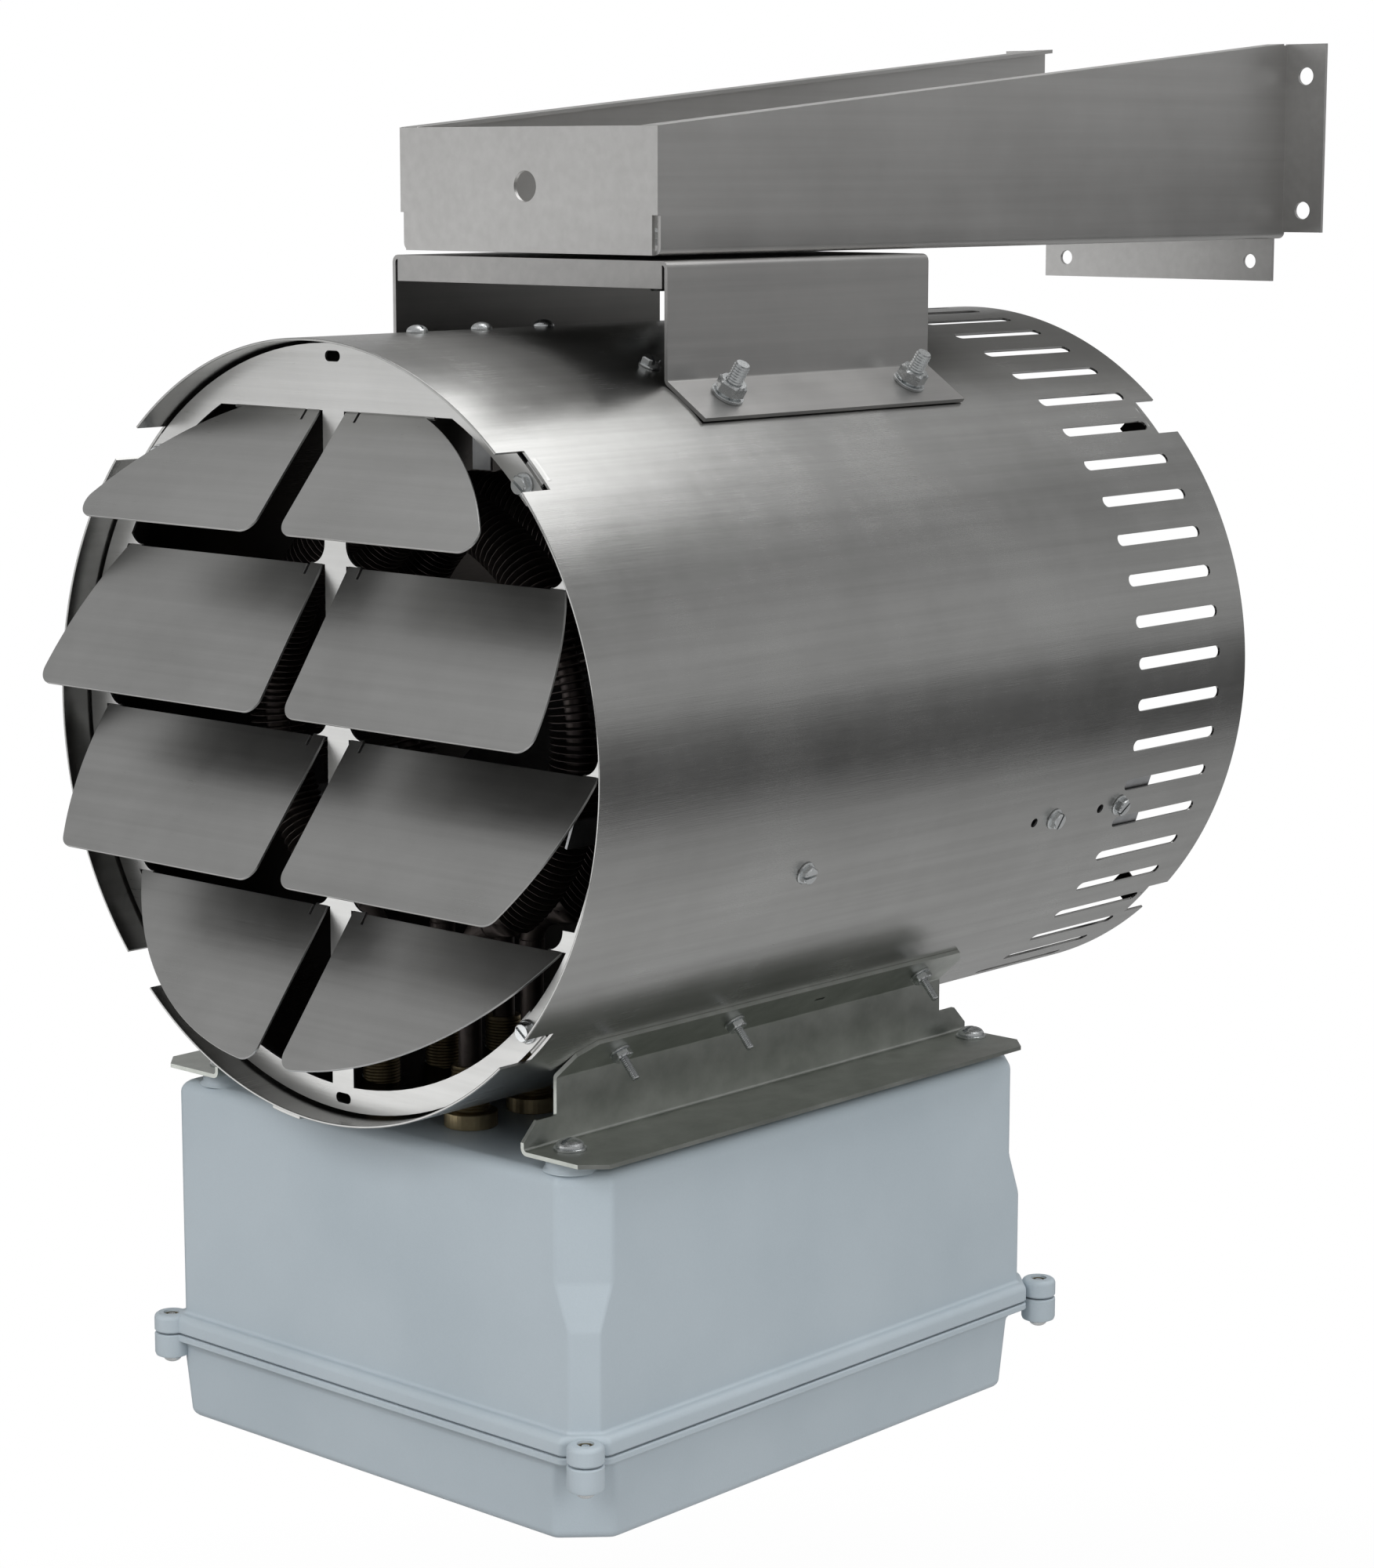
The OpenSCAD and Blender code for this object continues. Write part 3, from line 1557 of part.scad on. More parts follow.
module lid() {
    color("lightsteelblue")
        at_casing()
            difference() {
                union() {
                    box_slab(lid_low, lid_top, box_w, box_l, lid_cut);
                    box_slab(lid_top - lid_rim_h, lid_top, box_w + 2 * rim_out, box_l + 2 * rim_out,
                        box_cut_low + rim_out);
                    four_corners(ear_x, ear_y)
                        translate([0, 0, lid_top - lid_ear_h])
                            cylinder(h = lid_ear_h, r = ear_r);
                }
                box_slab(lid_low + box_t, lid_top + over, box_w - 2 * box_t, box_l - 2 * box_t, lid_cut);
                four_corners(ear_x, ear_y)
                    translate([0, 0, lid_top - lid_ear_h - over])
                        cylinder(h = lid_ear_h + 2 * over, r = lid_screw_r + screw_clear);
            }
}

module lid_gasket() {
    color("dimgray")
        at_casing()
            difference() {
                box_slab(lid_top, box_low, box_w - box_t + gasket_w, box_l - box_t + gasket_w,
                    box_cut_low + gasket_w / 2);
                box_slab(lid_top - over, box_low + over, box_w - box_t - gasket_w,
                    box_l - box_t - gasket_w, lid_cut);
            }
}

module lid_screws() {
    head_r = 4.6;
    head_h = 3.4;
    slot = 1.2;
    reach = lid_ear_h + gasket_t + insert_h - over;
    color("silver")
        at_casing()
            four_corners(ear_x, ear_y)
                translate([0, 0, lid_top - lid_ear_h]) {
                    rotate([180, 0, 0])
                        dome_head(head_r, head_h, slot);
                    translate([0, 0, -head_h / 3])
                        cylinder(h = reach + head_h / 3, r = lid_screw_r);
                }
}

bracket();
swivel_bolt();
swivel_nut();
swivel_washers();
casing();
saddle();
saddle_bolts();
saddle_nuts();
rail_left();
rail_right();
rail_bolts();
rail_nuts();
box_screws();
louver_plate();
louver_screws();
blade_1_left();
blade_1_right();
blade_2_left();
blade_2_right();
blade_3_left();
blade_3_right();
blade_4_left();
blade_4_right();
motor();
motor_cradle();
cradle_screws();
motor_bolts();
motor_shaft();
fan_hub();
fan_wheel();
element_front();
element_middle();
element_rear();
element_hangers();
hanger_screws();
element_stays();
stay_screws();
element_fittings();
cutout();
cutout_screw();
control_box();
box_inserts();
panel();
panel_screws();
contactor();
transformer();
terminal_block();
earth_bar();
lid();
lid_gasket();
lid_screws();
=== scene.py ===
# %% [markdown]
# # A ceiling mounted fan heater, dressed for its portrait
# The heater is a slotted steel drum that hangs under a tapered bracket by one bolt. Eight
# louvre blades close its front, a moulded control box hangs below it, and three finned
# rings, a fan and a motor sit inside. The solids come from the CAD model and are not
# moved. This file gives them finer edges, real grain and the small repeated things that
# are tedious to draw by hand: slots, fins, threads and screw heads. Every cell does one
# thing and prints what it made, so that it can be read from top to bottom.

# %% Load the CAD model as a fixed frame
import bpy
import bmesh
import json
import math
import numpy as np
from mathutils import Matrix, Vector


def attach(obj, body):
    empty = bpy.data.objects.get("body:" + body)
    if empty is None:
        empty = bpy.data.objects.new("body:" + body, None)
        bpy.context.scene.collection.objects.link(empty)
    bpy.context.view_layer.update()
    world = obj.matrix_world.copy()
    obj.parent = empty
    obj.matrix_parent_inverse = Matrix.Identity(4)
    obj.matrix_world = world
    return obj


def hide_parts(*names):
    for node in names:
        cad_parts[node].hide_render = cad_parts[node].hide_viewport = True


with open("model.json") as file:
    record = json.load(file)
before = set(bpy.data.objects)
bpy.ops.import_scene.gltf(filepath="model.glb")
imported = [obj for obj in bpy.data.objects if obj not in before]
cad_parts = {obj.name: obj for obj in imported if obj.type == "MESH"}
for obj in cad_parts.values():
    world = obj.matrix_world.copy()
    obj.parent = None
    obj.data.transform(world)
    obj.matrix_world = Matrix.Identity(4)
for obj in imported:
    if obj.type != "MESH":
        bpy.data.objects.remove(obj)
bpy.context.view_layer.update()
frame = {"nodes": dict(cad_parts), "record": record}

# %% [markdown]
# ## One unit and one drum
# Blender works in metres and sheet metal in millimetres, so MM turns one into the other.
# Most pieces are set out from the drum: its axis runs along Y, and its front rim is
# where the drum's own y is 0. The function drum_point takes a place in those terms and
# gives it in the frame of the whole object.

# %% Units and the drum's axis
MM = 0.001
DRUM_Y, DRUM_Z, DRUM_R, DRUM_T, DRUM_L = -649, -264, 177.8, 1.2, 479     # in millimetres
DRUM_FRONT, DRUM_AXIS_Z = DRUM_Y * MM, DRUM_Z * MM
DRUM_RADIUS, DRUM_WALL, DRUM_LENGTH = DRUM_R * MM, DRUM_T * MM, DRUM_L * MM


def drum_point(x, y, z):
    """A place in the drum's own millimetres, as a vector of the whole object's frame."""
    return Vector((x * MM, DRUM_FRONT + y * MM, DRUM_AXIS_Z + z * MM))


def outward(degrees):
    """The direction straight out of the drum at an angle: 0 is +X, 90 is straight up."""
    turn = math.radians(degrees)
    return Vector((math.cos(turn), 0, math.sin(turn)))


def round_drum(degrees, radius, y):
    """A place at an angle round the drum's axis."""
    turn = math.radians(degrees)
    return drum_point(radius * math.cos(turn), y, radius * math.sin(turn))


print("drum rim, right side:", tuple(round(c, 4) for c in round_drum(0, DRUM_R, 0)))

# %% [markdown]
# ## The camera
# The photograph was measured first: the two rims of the drum and its evenly spaced slots
# fix where the camera stood, how it was turned and how long its lens was. The camera
# here repeats that. The small shift takes up the photograph's crop, and the lens is
# given for a 36 mm sensor along the picture's longer side.

# %% The camera at the photograph's place
PICTURE = (1753, 2000)
CAMERA_PLACE = Vector((1.21935, -1.74794, -0.00952))
CAMERA_AZIMUTH = math.radians(42.34)
CAMERA_ELEVATION = math.radians(9.43)
FOCAL_PIXELS = 4708.28
PICTURE_CENTRE = (856.84, 987.55)

camera_data = bpy.data.cameras.new("camera")
camera_data.sensor_width = 36
camera_data.lens = FOCAL_PIXELS / max(PICTURE) * camera_data.sensor_width
camera_data.shift_x = (PICTURE[0] / 2 - PICTURE_CENTRE[0]) / max(PICTURE)
camera_data.shift_y = (PICTURE_CENTRE[1] - PICTURE[1] / 2) / max(PICTURE)
camera_data.clip_end = 60
camera = bpy.data.objects.new("camera", camera_data)
bpy.context.scene.collection.objects.link(camera)
back = Vector((math.sin(CAMERA_AZIMUTH) * math.cos(CAMERA_ELEVATION),
               -math.cos(CAMERA_AZIMUTH) * math.cos(CAMERA_ELEVATION),
               math.sin(CAMERA_ELEVATION)))
camera.location = CAMERA_PLACE
camera.rotation_euler = back.to_track_quat("Z", "Y").to_euler()
bpy.context.scene.camera = camera
bpy.context.scene.view_settings.view_transform = "Standard"
print("lens:", round(camera_data.lens, 2), "mm, shift:", round(camera_data.shift_x, 4),
      round(camera_data.shift_y, 4))

# %% [markdown]
# ## The room
# The photograph is a cut-out on white. A world that is white to the camera and to
# see-through rays gives that background, while the light that falls on the object
# stays at a plain level. The floor lies well below, as it does under a real heater, and
# most of what the camera sees of it is the same white, so that only a soft shadow is
# left, and further out it is all white, so that it has no visible end. Brushed steel
# shows the room in long bands, so a plain curtain stands round the floor: it is light
# above, grey in the middle and dark at the skirting, and only glossy rays see it. A pale
# card stands low on the left, where the flat louvre plate looks, and a small one hangs
# above the drum for the bright band near its front rim.

# %% Helpers for small node trees
def clear_nodes(tree):
    for node in list(tree.nodes):
        tree.nodes.remove(node)


def add_node(tree, kind, at=(0, 0), **settings):
    """A node of that kind, with its settings and with values for its inputs by name."""
    node = tree.nodes.new(kind)
    node.location = at
    for name, value in settings.items():
        if hasattr(node, name):
            setattr(node, name, value)
        else:
            node.inputs[name.replace("_", " ")].default_value = value
    return node


def join(tree, *pairs):
    """Links output sockets to input sockets, pair by pair."""
    for out_socket, in_socket in pairs:
        tree.links.new(out_socket, in_socket)


def spread(tree, value, low, high, new_low=0.0, new_high=1.0, at=(0, 0)):
    """Maps low..high onto new_low..new_high and clamps."""
    made = add_node(tree, "ShaderNodeMapRange", at, From_Min=low, From_Max=high, To_Min=new_low,
                    To_Max=new_high)
    tree.links.new(value, made.inputs["Value"])
    return made.outputs[0]


def bare_material(name):
    """A material with an empty tree, that tree, and the object's own coordinates."""
    material = bpy.data.materials.new(name)
    material.use_nodes = True
    clear_nodes(material.node_tree)
    place = add_node(material.node_tree, "ShaderNodeTexCoord", (-1500, 0))
    return material, material.node_tree, place.outputs["Object"]


print("helpers ready")

# %% The world: white to the camera, plain light on the object
WORLD_LIGHT, WHITE = 0.42, (1, 1, 1, 1)
world = bpy.data.worlds.new("studio")
bpy.context.scene.world = world
world.use_nodes = True
tree = world.node_tree
clear_nodes(tree)
path = add_node(tree, "ShaderNodeLightPath", (-700, 0))
straight = add_node(tree, "ShaderNodeMath", (-400, 100), operation="MAXIMUM")
plain = add_node(tree, "ShaderNodeBackground", (-300, -100), Color=WHITE, Strength=WORLD_LIGHT)
white = add_node(tree, "ShaderNodeBackground", (-300, -250), Color=WHITE, Strength=1.0)
mix = add_node(tree, "ShaderNodeMixShader", (0, 0))
out = add_node(tree, "ShaderNodeOutputWorld", (200, 0))
join(tree, (path.outputs["Is Camera Ray"], straight.inputs[0]),
     (path.outputs["Is Transmission Ray"], straight.inputs[1]),
     (straight.outputs[0], mix.inputs[0]), (plain.outputs[0], mix.inputs[1]),
     (white.outputs[0], mix.inputs[2]), (mix.outputs[0], out.inputs[0]))
print("world light:", WORLD_LIGHT)

# %% The materials of the floor, the curtain and the cards
FLOOR_Z, FLOOR_HALF, FLOOR_GREY = -1.7, 30, (0.6, 0.6, 0.6, 1)
FLOOR_FADE = (1.8, 3.0, 0.88, 1.0)       # from this radius to that, from this white to that
CURTAIN_RADIUS, CURTAIN_TOP, CURTAIN_SIDES = 4.0, 4.0, 64
CURTAIN_BANDS = ((0.0, 0.10), (0.14, 0.10), (0.21, 0.14), (0.263, 0.30), (0.298, 0.47),
                 (0.412, 0.43), (0.509, 0.38), (0.70, 0.28), (0.877, 0.50), (1.0, 0.46))


def floor_material():
    """Pale and matte, and to the camera a white that is full from a few metres out."""
    material, tree, place = bare_material("floor_pale")
    path = add_node(tree, "ShaderNodeLightPath", (-600, 0))
    seen = add_node(tree, "ShaderNodeMath", (-400, 0), operation="MULTIPLY")
    reach = add_node(tree, "ShaderNodeVectorMath", (-1000, 200), operation="LENGTH")
    pale = add_node(tree, "ShaderNodeBsdfDiffuse", (-400, -150), Color=FLOOR_GREY)
    white = add_node(tree, "ShaderNodeEmission", (-400, -300), Color=WHITE, Strength=1.0)
    mix = add_node(tree, "ShaderNodeMixShader", (-100, 0))
    out = add_node(tree, "ShaderNodeOutputMaterial", (100, 0))
    fade = spread(tree, reach.outputs["Value"], *FLOOR_FADE, (-800, 200))
    join(tree, (place, reach.inputs[0]), (fade, seen.inputs[1]),
         (path.outputs["Is Camera Ray"], seen.inputs[0]), (seen.outputs[0], mix.inputs[0]),
         (pale.outputs[0], mix.inputs[1]), (white.outputs[0], mix.inputs[2]),
         (mix.outputs[0], out.inputs[0]))
    return material


def glow_material(name, axis, *reach):
    """A glow, and a value that follows one axis: from low to high, and onto what."""
    material, tree, place = bare_material(name)
    split = add_node(tree, "ShaderNodeSeparateXYZ", (-1200, 0))
    glow = add_node(tree, "ShaderNodeEmission", (-200, 0))
    out = add_node(tree, "ShaderNodeOutputMaterial", (0, 0))
    join(tree, (place, split.inputs[0]), (glow.outputs[0], out.inputs[0]))
    return material, tree, spread(tree, split.outputs[axis], *reach, at=(-900, 0)), glow


def curtain_material():
    """Bands by height: dark at the skirting, grey above it, light at the top."""
    material, tree, height, glow = glow_material("curtain_bands", "Z", FLOOR_Z, CURTAIN_TOP)
    bands = add_node(tree, "ShaderNodeValToRGB", (-600, 0))
    ramp = bands.color_ramp
    while len(ramp.elements) < len(CURTAIN_BANDS):
        ramp.elements.new(0.5)
    for element, (at, grey) in zip(ramp.elements, CURTAIN_BANDS):
        element.position = at
        element.color = (grey, grey, grey, 1)
    join(tree, (height, bands.inputs[0]), (bands.outputs[0], glow.inputs["Color"]))
    return material


def card_material(name, axis, low, high, low_glow, high_glow):
    material, tree, value, glow = glow_material(name, axis, low, high, low_glow, high_glow)
    tree.links.new(value, glow.inputs["Strength"])
    return material


print("floor fades from", FLOOR_FADE[0], "to", FLOOR_FADE[1], "m,", len(CURTAIN_BANDS), "bands")

# %% The floor, the curtain and the cards themselves
def stage_object(name, vertices, faces, material):
    mesh = bpy.data.meshes.new(name)
    mesh.from_pydata(vertices, [], faces)
    mesh.materials.append(material)
    made = bpy.data.objects.new(name, mesh)
    bpy.context.scene.collection.objects.link(made)
    return made


def stage_sheet(name, corners, material):
    return stage_object(name, corners, [(0, 1, 2, 3)], material)


stage_sheet("floor", [(x * FLOOR_HALF, y * FLOOR_HALF, FLOOR_Z)
                      for x, y in ((-1, -1), (1, -1), (1, 1), (-1, 1))], floor_material())
turns = [math.tau * i / CURTAIN_SIDES for i in range(CURTAIN_SIDES)]
ring = [(CURTAIN_RADIUS * math.cos(a), CURTAIN_RADIUS * math.sin(a), z)
        for z in (FLOOR_Z + 0.001, CURTAIN_TOP) for a in turns]
walls = [(i, i + CURTAIN_SIDES, (i + 1) % CURTAIN_SIDES + CURTAIN_SIDES, (i + 1) % CURTAIN_SIDES)
         for i in range(CURTAIN_SIDES)]
curtain = stage_object("curtain", ring, walls, curtain_material())
card = stage_sheet("card", [(-3.3, -1.6, -1.6), (-0.6, -3.7, -1.6), (-0.6, -3.7, 0.9),
                            (-3.3, -1.6, 0.9)], card_material("card_low", "Z", -1.2, 0.1, 1.5, 0.6))
top_card = stage_sheet("top_card", [(-0.3, -0.5, 0.62), (0.8, -0.5, 0.62), (0.8, 0.36, 0.62),
                                    (-0.3, 0.36, 0.62)],
                       card_material("card_top", "Y", 0.17, 0.33, 2.2, 0.05))
for screen in (curtain, card, top_card):
    for ray in ("camera", "diffuse", "shadow", "transmission", "volume_scatter"):
        setattr(screen, "visible_" + ray, False)
print("floor at", FLOOR_Z, "m, curtain radius", CURTAIN_RADIUS, "m")

# %% The lamps: one large soft box overhead, one fill by the camera, one rim light
def soft_box(name, place, aim, size, power):
    lamp = bpy.data.lights.new(name, "AREA")
    lamp.shape = "RECTANGLE"
    lamp.size, lamp.size_y = size
    lamp.energy = power
    made = bpy.data.objects.new(name, lamp)
    bpy.context.scene.collection.objects.link(made)
    made.location = place
    made.rotation_euler = (Vector(place) - Vector(aim)).to_track_quat("Z", "Y").to_euler()
    made.visible_glossy = False


HEART = (0.0, -0.45, -0.28)
soft_box("box_overhead", (0.35, 0.9, 1.7), HEART, (1.6, 1.2), 26)
soft_box("box_front", (0.2, -2.6, 0.9), HEART, (1.6, 1.2), 30)
soft_box("box_side", (2.6, -0.9, 0.5), HEART, (1.4, 1.4), 27)
print("three soft boxes")

# %% [markdown]
# ## Shared effects for the finishes
# Real sheet steel is never one even grey. The mill leaves fine lines along the sheet,
# hands leave faint clouds, and the sheet itself is a little wavy, so that reflections
# wander. Each of these effects is a shader node group, built once, that only puts out
# masks, values and a height. The materials below place the groups with their own values.
# A bitmap could do the same, but noise has no seams, no resolution and needs no
# unwrapping.

# %% Helpers that start a shader node group and place noise in it
def start_group(name, inputs, outputs):
    """A group with named inputs (name, socket, default) and named outputs, all of them values."""
    group = bpy.data.node_groups.new(name, "ShaderNodeTree")
    for label, socket, default in [("Vector", "NodeSocketVector", None), *inputs]:
        made = group.interface.new_socket(name=label, in_out="INPUT", socket_type=socket)
        if default is not None:
            made.default_value = default
    for label in outputs:
        group.interface.new_socket(name=label, in_out="OUTPUT", socket_type="NodeSocketFloat")
    source = add_node(group, "NodeGroupInput", (-900, 0))
    sink = add_node(group, "NodeGroupOutput", (900, 0))
    return group, source, sink


def noise(tree, vector, scale, detail=3.0, roughness=0.55, at=(0, 0)):
    made = add_node(tree, "ShaderNodeTexNoise", at, Scale=scale, Detail=detail, Roughness=roughness)
    tree.links.new(vector, made.inputs["Vector"])
    return made.outputs["Fac"]


print("group helpers ready")

# %% Mill grain: fine lines along one direction, with soft broad streaks among them
grain, source, sink = start_group(
    "mill_grain", [("Squeeze", "NodeSocketVector", (1.0, 0.02, 1.0))],
    ["Lines", "Streaks", "Height"])
squeezed = add_node(grain, "ShaderNodeVectorMath", (-700, 0), operation="MULTIPLY")
fine = noise(grain, squeezed.outputs[0], 2600, 4.0, 0.65, (-450, 200))
broad = noise(grain, squeezed.outputs[0], 190, 3.0, 0.6, (-450, -100))
lines = spread(grain, fine, 0.30, 0.70, at=(-200, 200))
streaks = spread(grain, broad, 0.32, 0.68, at=(-200, -100))
height = add_node(grain, "ShaderNodeMath", (200, 50), operation="MULTIPLY_ADD")
height.inputs[1].default_value = 0.5
join(grain, (source.outputs["Vector"], squeezed.inputs[0]),
     (source.outputs["Squeeze"], squeezed.inputs[1]), (lines, sink.inputs["Lines"]),
     (streaks, sink.inputs["Streaks"]), (streaks, height.inputs[0]), (lines, height.inputs[2]),
     (height.outputs[0], sink.inputs["Height"]))
print("group:", grain.name, [item.name for item in grain.interface.items_tree])

# %% Handling: faint clouds, small marks, and the slow waves of a thin sheet
handling, source, sink = start_group(
    "handling", [("Size", "NodeSocketFloat", 1.0)], ["Clouds", "Marks", "Waves"])
sized = add_node(handling, "ShaderNodeVectorMath", (-700, 0), operation="SCALE")
spots = add_node(handling, "ShaderNodeTexVoronoi", (-450, 0), Scale=95, Randomness=1.0)
join(handling, (source.outputs["Vector"], sized.inputs[0]),
     (source.outputs["Size"], sized.inputs["Scale"]), (sized.outputs[0], spots.inputs["Vector"]))
clouds = noise(handling, sized.outputs[0], 16, 5.0, 0.6, (-450, 250))
clouds = spread(handling, clouds, 0.35, 0.68, at=(-200, 250))
small = spread(handling, spots.outputs["Distance"], 0.05, 0.16, 1.0, 0.0, at=(-200, 0))
where = noise(handling, sized.outputs[0], 23, 2.0, 0.5, (-450, -250))
where = spread(handling, where, 0.55, 0.62, at=(-200, -250))
marks = add_node(handling, "ShaderNodeMath", (100, 0), operation="MULTIPLY")
waves = noise(handling, sized.outputs[0], 7.0, 1.0, 0.4, (-450, -450))
join(handling, (clouds, sink.inputs["Clouds"]), (small, marks.inputs[0]), (where, marks.inputs[1]),
     (marks.outputs[0], sink.inputs["Marks"]), (waves, sink.inputs["Waves"]))
print("group:", handling.name, [item.name for item in handling.interface.items_tree])

# %% Fine mould texture, for plastics and paint
mould, source, sink = start_group(
    "mould_texture", [("Grain", "NodeSocketFloat", 1500.0)], ["Speckle", "Flow", "Height"])
pits = add_node(mould, "ShaderNodeTexNoise", (-500, 150), Detail=2.0)
join(mould, (source.outputs["Vector"], pits.inputs["Vector"]),
     (source.outputs["Grain"], pits.inputs["Scale"]))
speckle = spread(mould, pits.outputs["Fac"], 0.33, 0.67, at=(-200, 150))
flow = noise(mould, source.outputs["Vector"], 11, 3.0, 0.5, (-500, -150))
flow = spread(mould, flow, 0.35, 0.65, at=(-200, -150))
join(mould, (speckle, sink.inputs["Speckle"]), (speckle, sink.inputs["Height"]),
     (flow, sink.inputs["Flow"]))
print("group:", mould.name, [item.name for item in mould.interface.items_tree])

# %% Dust: a mask that gathers where a surface looks up
dust, source, sink = start_group("dust", [], ["Mask"])
facing = add_node(dust, "ShaderNodeNewGeometry", (-700, 100))
split = add_node(dust, "ShaderNodeSeparateXYZ", (-500, 100))
upward = add_node(dust, "ShaderNodeMath", (0, 0), operation="MULTIPLY")
level = spread(dust, split.outputs["Z"], 0.35, 1.0, at=(-300, 100))
patches = noise(dust, source.outputs["Vector"], 60, 6.0, 0.65, (-500, -100))
patches = spread(dust, patches, 0.4, 0.7, at=(-300, -100))
join(dust, (facing.outputs["Normal"], split.inputs[0]), (level, upward.inputs[0]),
     (patches, upward.inputs[1]), (upward.outputs[0], sink.inputs["Mask"]))
print("group:", dust.name)

# %% Inside of the drum: a mask for what lies within its wall and behind its louvre plate, where painted shade goes
within, source, sink = start_group("within_drum", [], ["Mask"])
split = add_node(within, "ShaderNodeSeparateXYZ", (-700, 0))
rise = add_node(within, "ShaderNodeMath", (-500, -100), operation="SUBTRACT")
rise.inputs[1].default_value = DRUM_AXIS_Z
flat = add_node(within, "ShaderNodeCombineXYZ", (-300, 0))
reach = add_node(within, "ShaderNodeVectorMath", (-100, 0), operation="LENGTH")
deep = add_node(within, "ShaderNodeMath", (500, 0), operation="MULTIPLY")
inner = spread(within, reach.outputs["Value"], DRUM_RADIUS - 1.1 * MM, DRUM_RADIUS - 0.7 * MM,
               1.0, 0.0, at=(100, 0))
behind = spread(within, split.outputs["Y"], DRUM_FRONT + 19 * MM, DRUM_FRONT + 40 * MM,
                at=(100, -200))
join(within, (source.outputs["Vector"], split.inputs[0]), (split.outputs["X"], flat.inputs["X"]),
     (split.outputs["Z"], rise.inputs[0]), (rise.outputs[0], flat.inputs["Z"]),
     (flat.outputs[0], reach.inputs[0]), (inner, deep.inputs[0]), (behind, deep.inputs[1]),
     (deep.outputs[0], sink.inputs["Mask"]))
print("group:", within.name)

# %% [markdown]
# ## The metals
# One function makes every metal, because they differ only in tone, in the direction and
# depth of their grain, and in how polished they are. Steel for the drum is bright and
# wavy, the bracket's thicker plate is flatter and warmer, and zinc on the screws has only
# a faint grain that runs no way in particular. The tone runs between a light and a dark
# value along the streaks, and the roughness follows the same streaks, so a reflection
# breaks up as it does on mill finish. Numbers that are even all over the surface sit on
# the shader.

# %% Helpers that both kinds of material share
def place_group(tree, group, at, vector, **values):
    made = tree.nodes.new("ShaderNodeGroup")
    made.node_tree = group
    made.location = at
    tree.links.new(vector, made.inputs["Vector"])
    for name, value in values.items():
        made.inputs[name].default_value = value
    return made


def start_material(name):
    material, tree, place = bare_material(name)
    shader = add_node(tree, "ShaderNodeBsdfPrincipled", (500, 0))
    out = add_node(tree, "ShaderNodeOutputMaterial", (800, 0))
    tree.links.new(shader.outputs[0], out.inputs[0])
    return material, tree, place, shader


def weighed(tree, first, first_share, second, second_share, at):
    """The sum of two sockets, each times its share."""
    rest = add_node(tree, "ShaderNodeMath", at, operation="MULTIPLY")
    rest.inputs[1].default_value = second_share
    total = add_node(tree, "ShaderNodeMath", at, operation="MULTIPLY_ADD")
    total.inputs[1].default_value = first_share
    join(tree, (second, rest.inputs[0]), (first, total.inputs[0]),
         (rest.outputs[0], total.inputs[2]))
    return total.outputs[0]


def mixed(tree, factor, low, high, at):
    """low where the factor is 0, high where it is 1; each is a colour or a socket."""
    mix = add_node(tree, "ShaderNodeMix", at, data_type="RGBA")
    for key, side in (("A", low), ("B", high)):
        if isinstance(side, bpy.types.NodeSocket):
            tree.links.new(side, mix.inputs[key])
        else:
            mix.inputs[key].default_value = (*side, 1)
    tree.links.new(factor, mix.inputs["Factor"])
    return mix.outputs["Result"]


def dusted(tree, place, colour, share, film):
    """The colour with a share of dust over it."""
    mask = place_group(tree, dust, (-500, 500), place)
    amount = add_node(tree, "ShaderNodeMath", (-300, 500), operation="MULTIPLY")
    amount.inputs[1].default_value = share
    tree.links.new(mask.outputs["Mask"], amount.inputs[0])
    return mixed(tree, amount.outputs[0], colour, film, (0, 300))


def add_bump(tree, shader, height, strength, distance, at=(200, -400), before=None):
    bump = add_node(tree, "ShaderNodeBump", at, Strength=strength, Distance=distance)
    tree.links.new(height, bump.inputs["Height"])
    if before is not None:
        tree.links.new(before.outputs["Normal"], bump.inputs["Normal"])
    tree.links.new(bump.outputs["Normal"], shader.inputs["Normal"])
    return bump


print("material helpers ready")

# %% A function for metals, and the ten metals
# The first colour here is painted shade: a near black for the inside of the drum, which lies in
# shade behind the louvre plate
INNER_SHADE, METAL_DUST, GRAIN_HEIGHT = (0.060, 0.054, 0.050), (0.30, 0.28, 0.25), 0.00006


def metal(name, light, dark, rough, squeeze, grain_depth=0.2, wave_depth=0.0, size=1.0, dusty=0.0,
          metallic=1.0, shade_inside=False):
    """light and dark are colours; rough is (smoothest, roughest); squeeze stretches the grain."""
    material, tree, place, shader = start_material(name)
    lines = place_group(tree, grain, (-1200, 200), place, Squeeze=squeeze)
    hands = place_group(tree, handling, (-1200, -200), place, Size=size)
    clouds = hands.outputs["Clouds"]
    tone = weighed(tree, lines.outputs["Streaks"], 0.45, clouds, 0.55, (-900, 200))
    colour = mixed(tree, tone, dark, light, (-500, 200))
    polish = weighed(tree, lines.outputs["Lines"], 0.5, clouds, 0.5, (-900, -200))
    if dusty:
        colour = dusted(tree, place, colour, dusty, METAL_DUST)
    # Painted shade: the inside of the drum, behind its louvre plate, is darkened to near black
    if shade_inside:
        inside = place_group(tree, within, (-300, 800), place)
        colour = mixed(tree, inside.outputs["Mask"], colour, INNER_SHADE, (250, 400))
    join(tree, (colour, shader.inputs["Base Color"]),
         (spread(tree, polish, 0.0, 1.0, *rough, (-500, -200)), shader.inputs["Roughness"]))
    shader.inputs["Metallic"].default_value = metallic
    before = None
    if wave_depth:
        before = add_bump(tree, shader, hands.outputs["Waves"], 1.0, wave_depth, (-100, -500))
    add_bump(tree, shader, lines.outputs["Height"], grain_depth, GRAIN_HEIGHT, before=before)
    return material


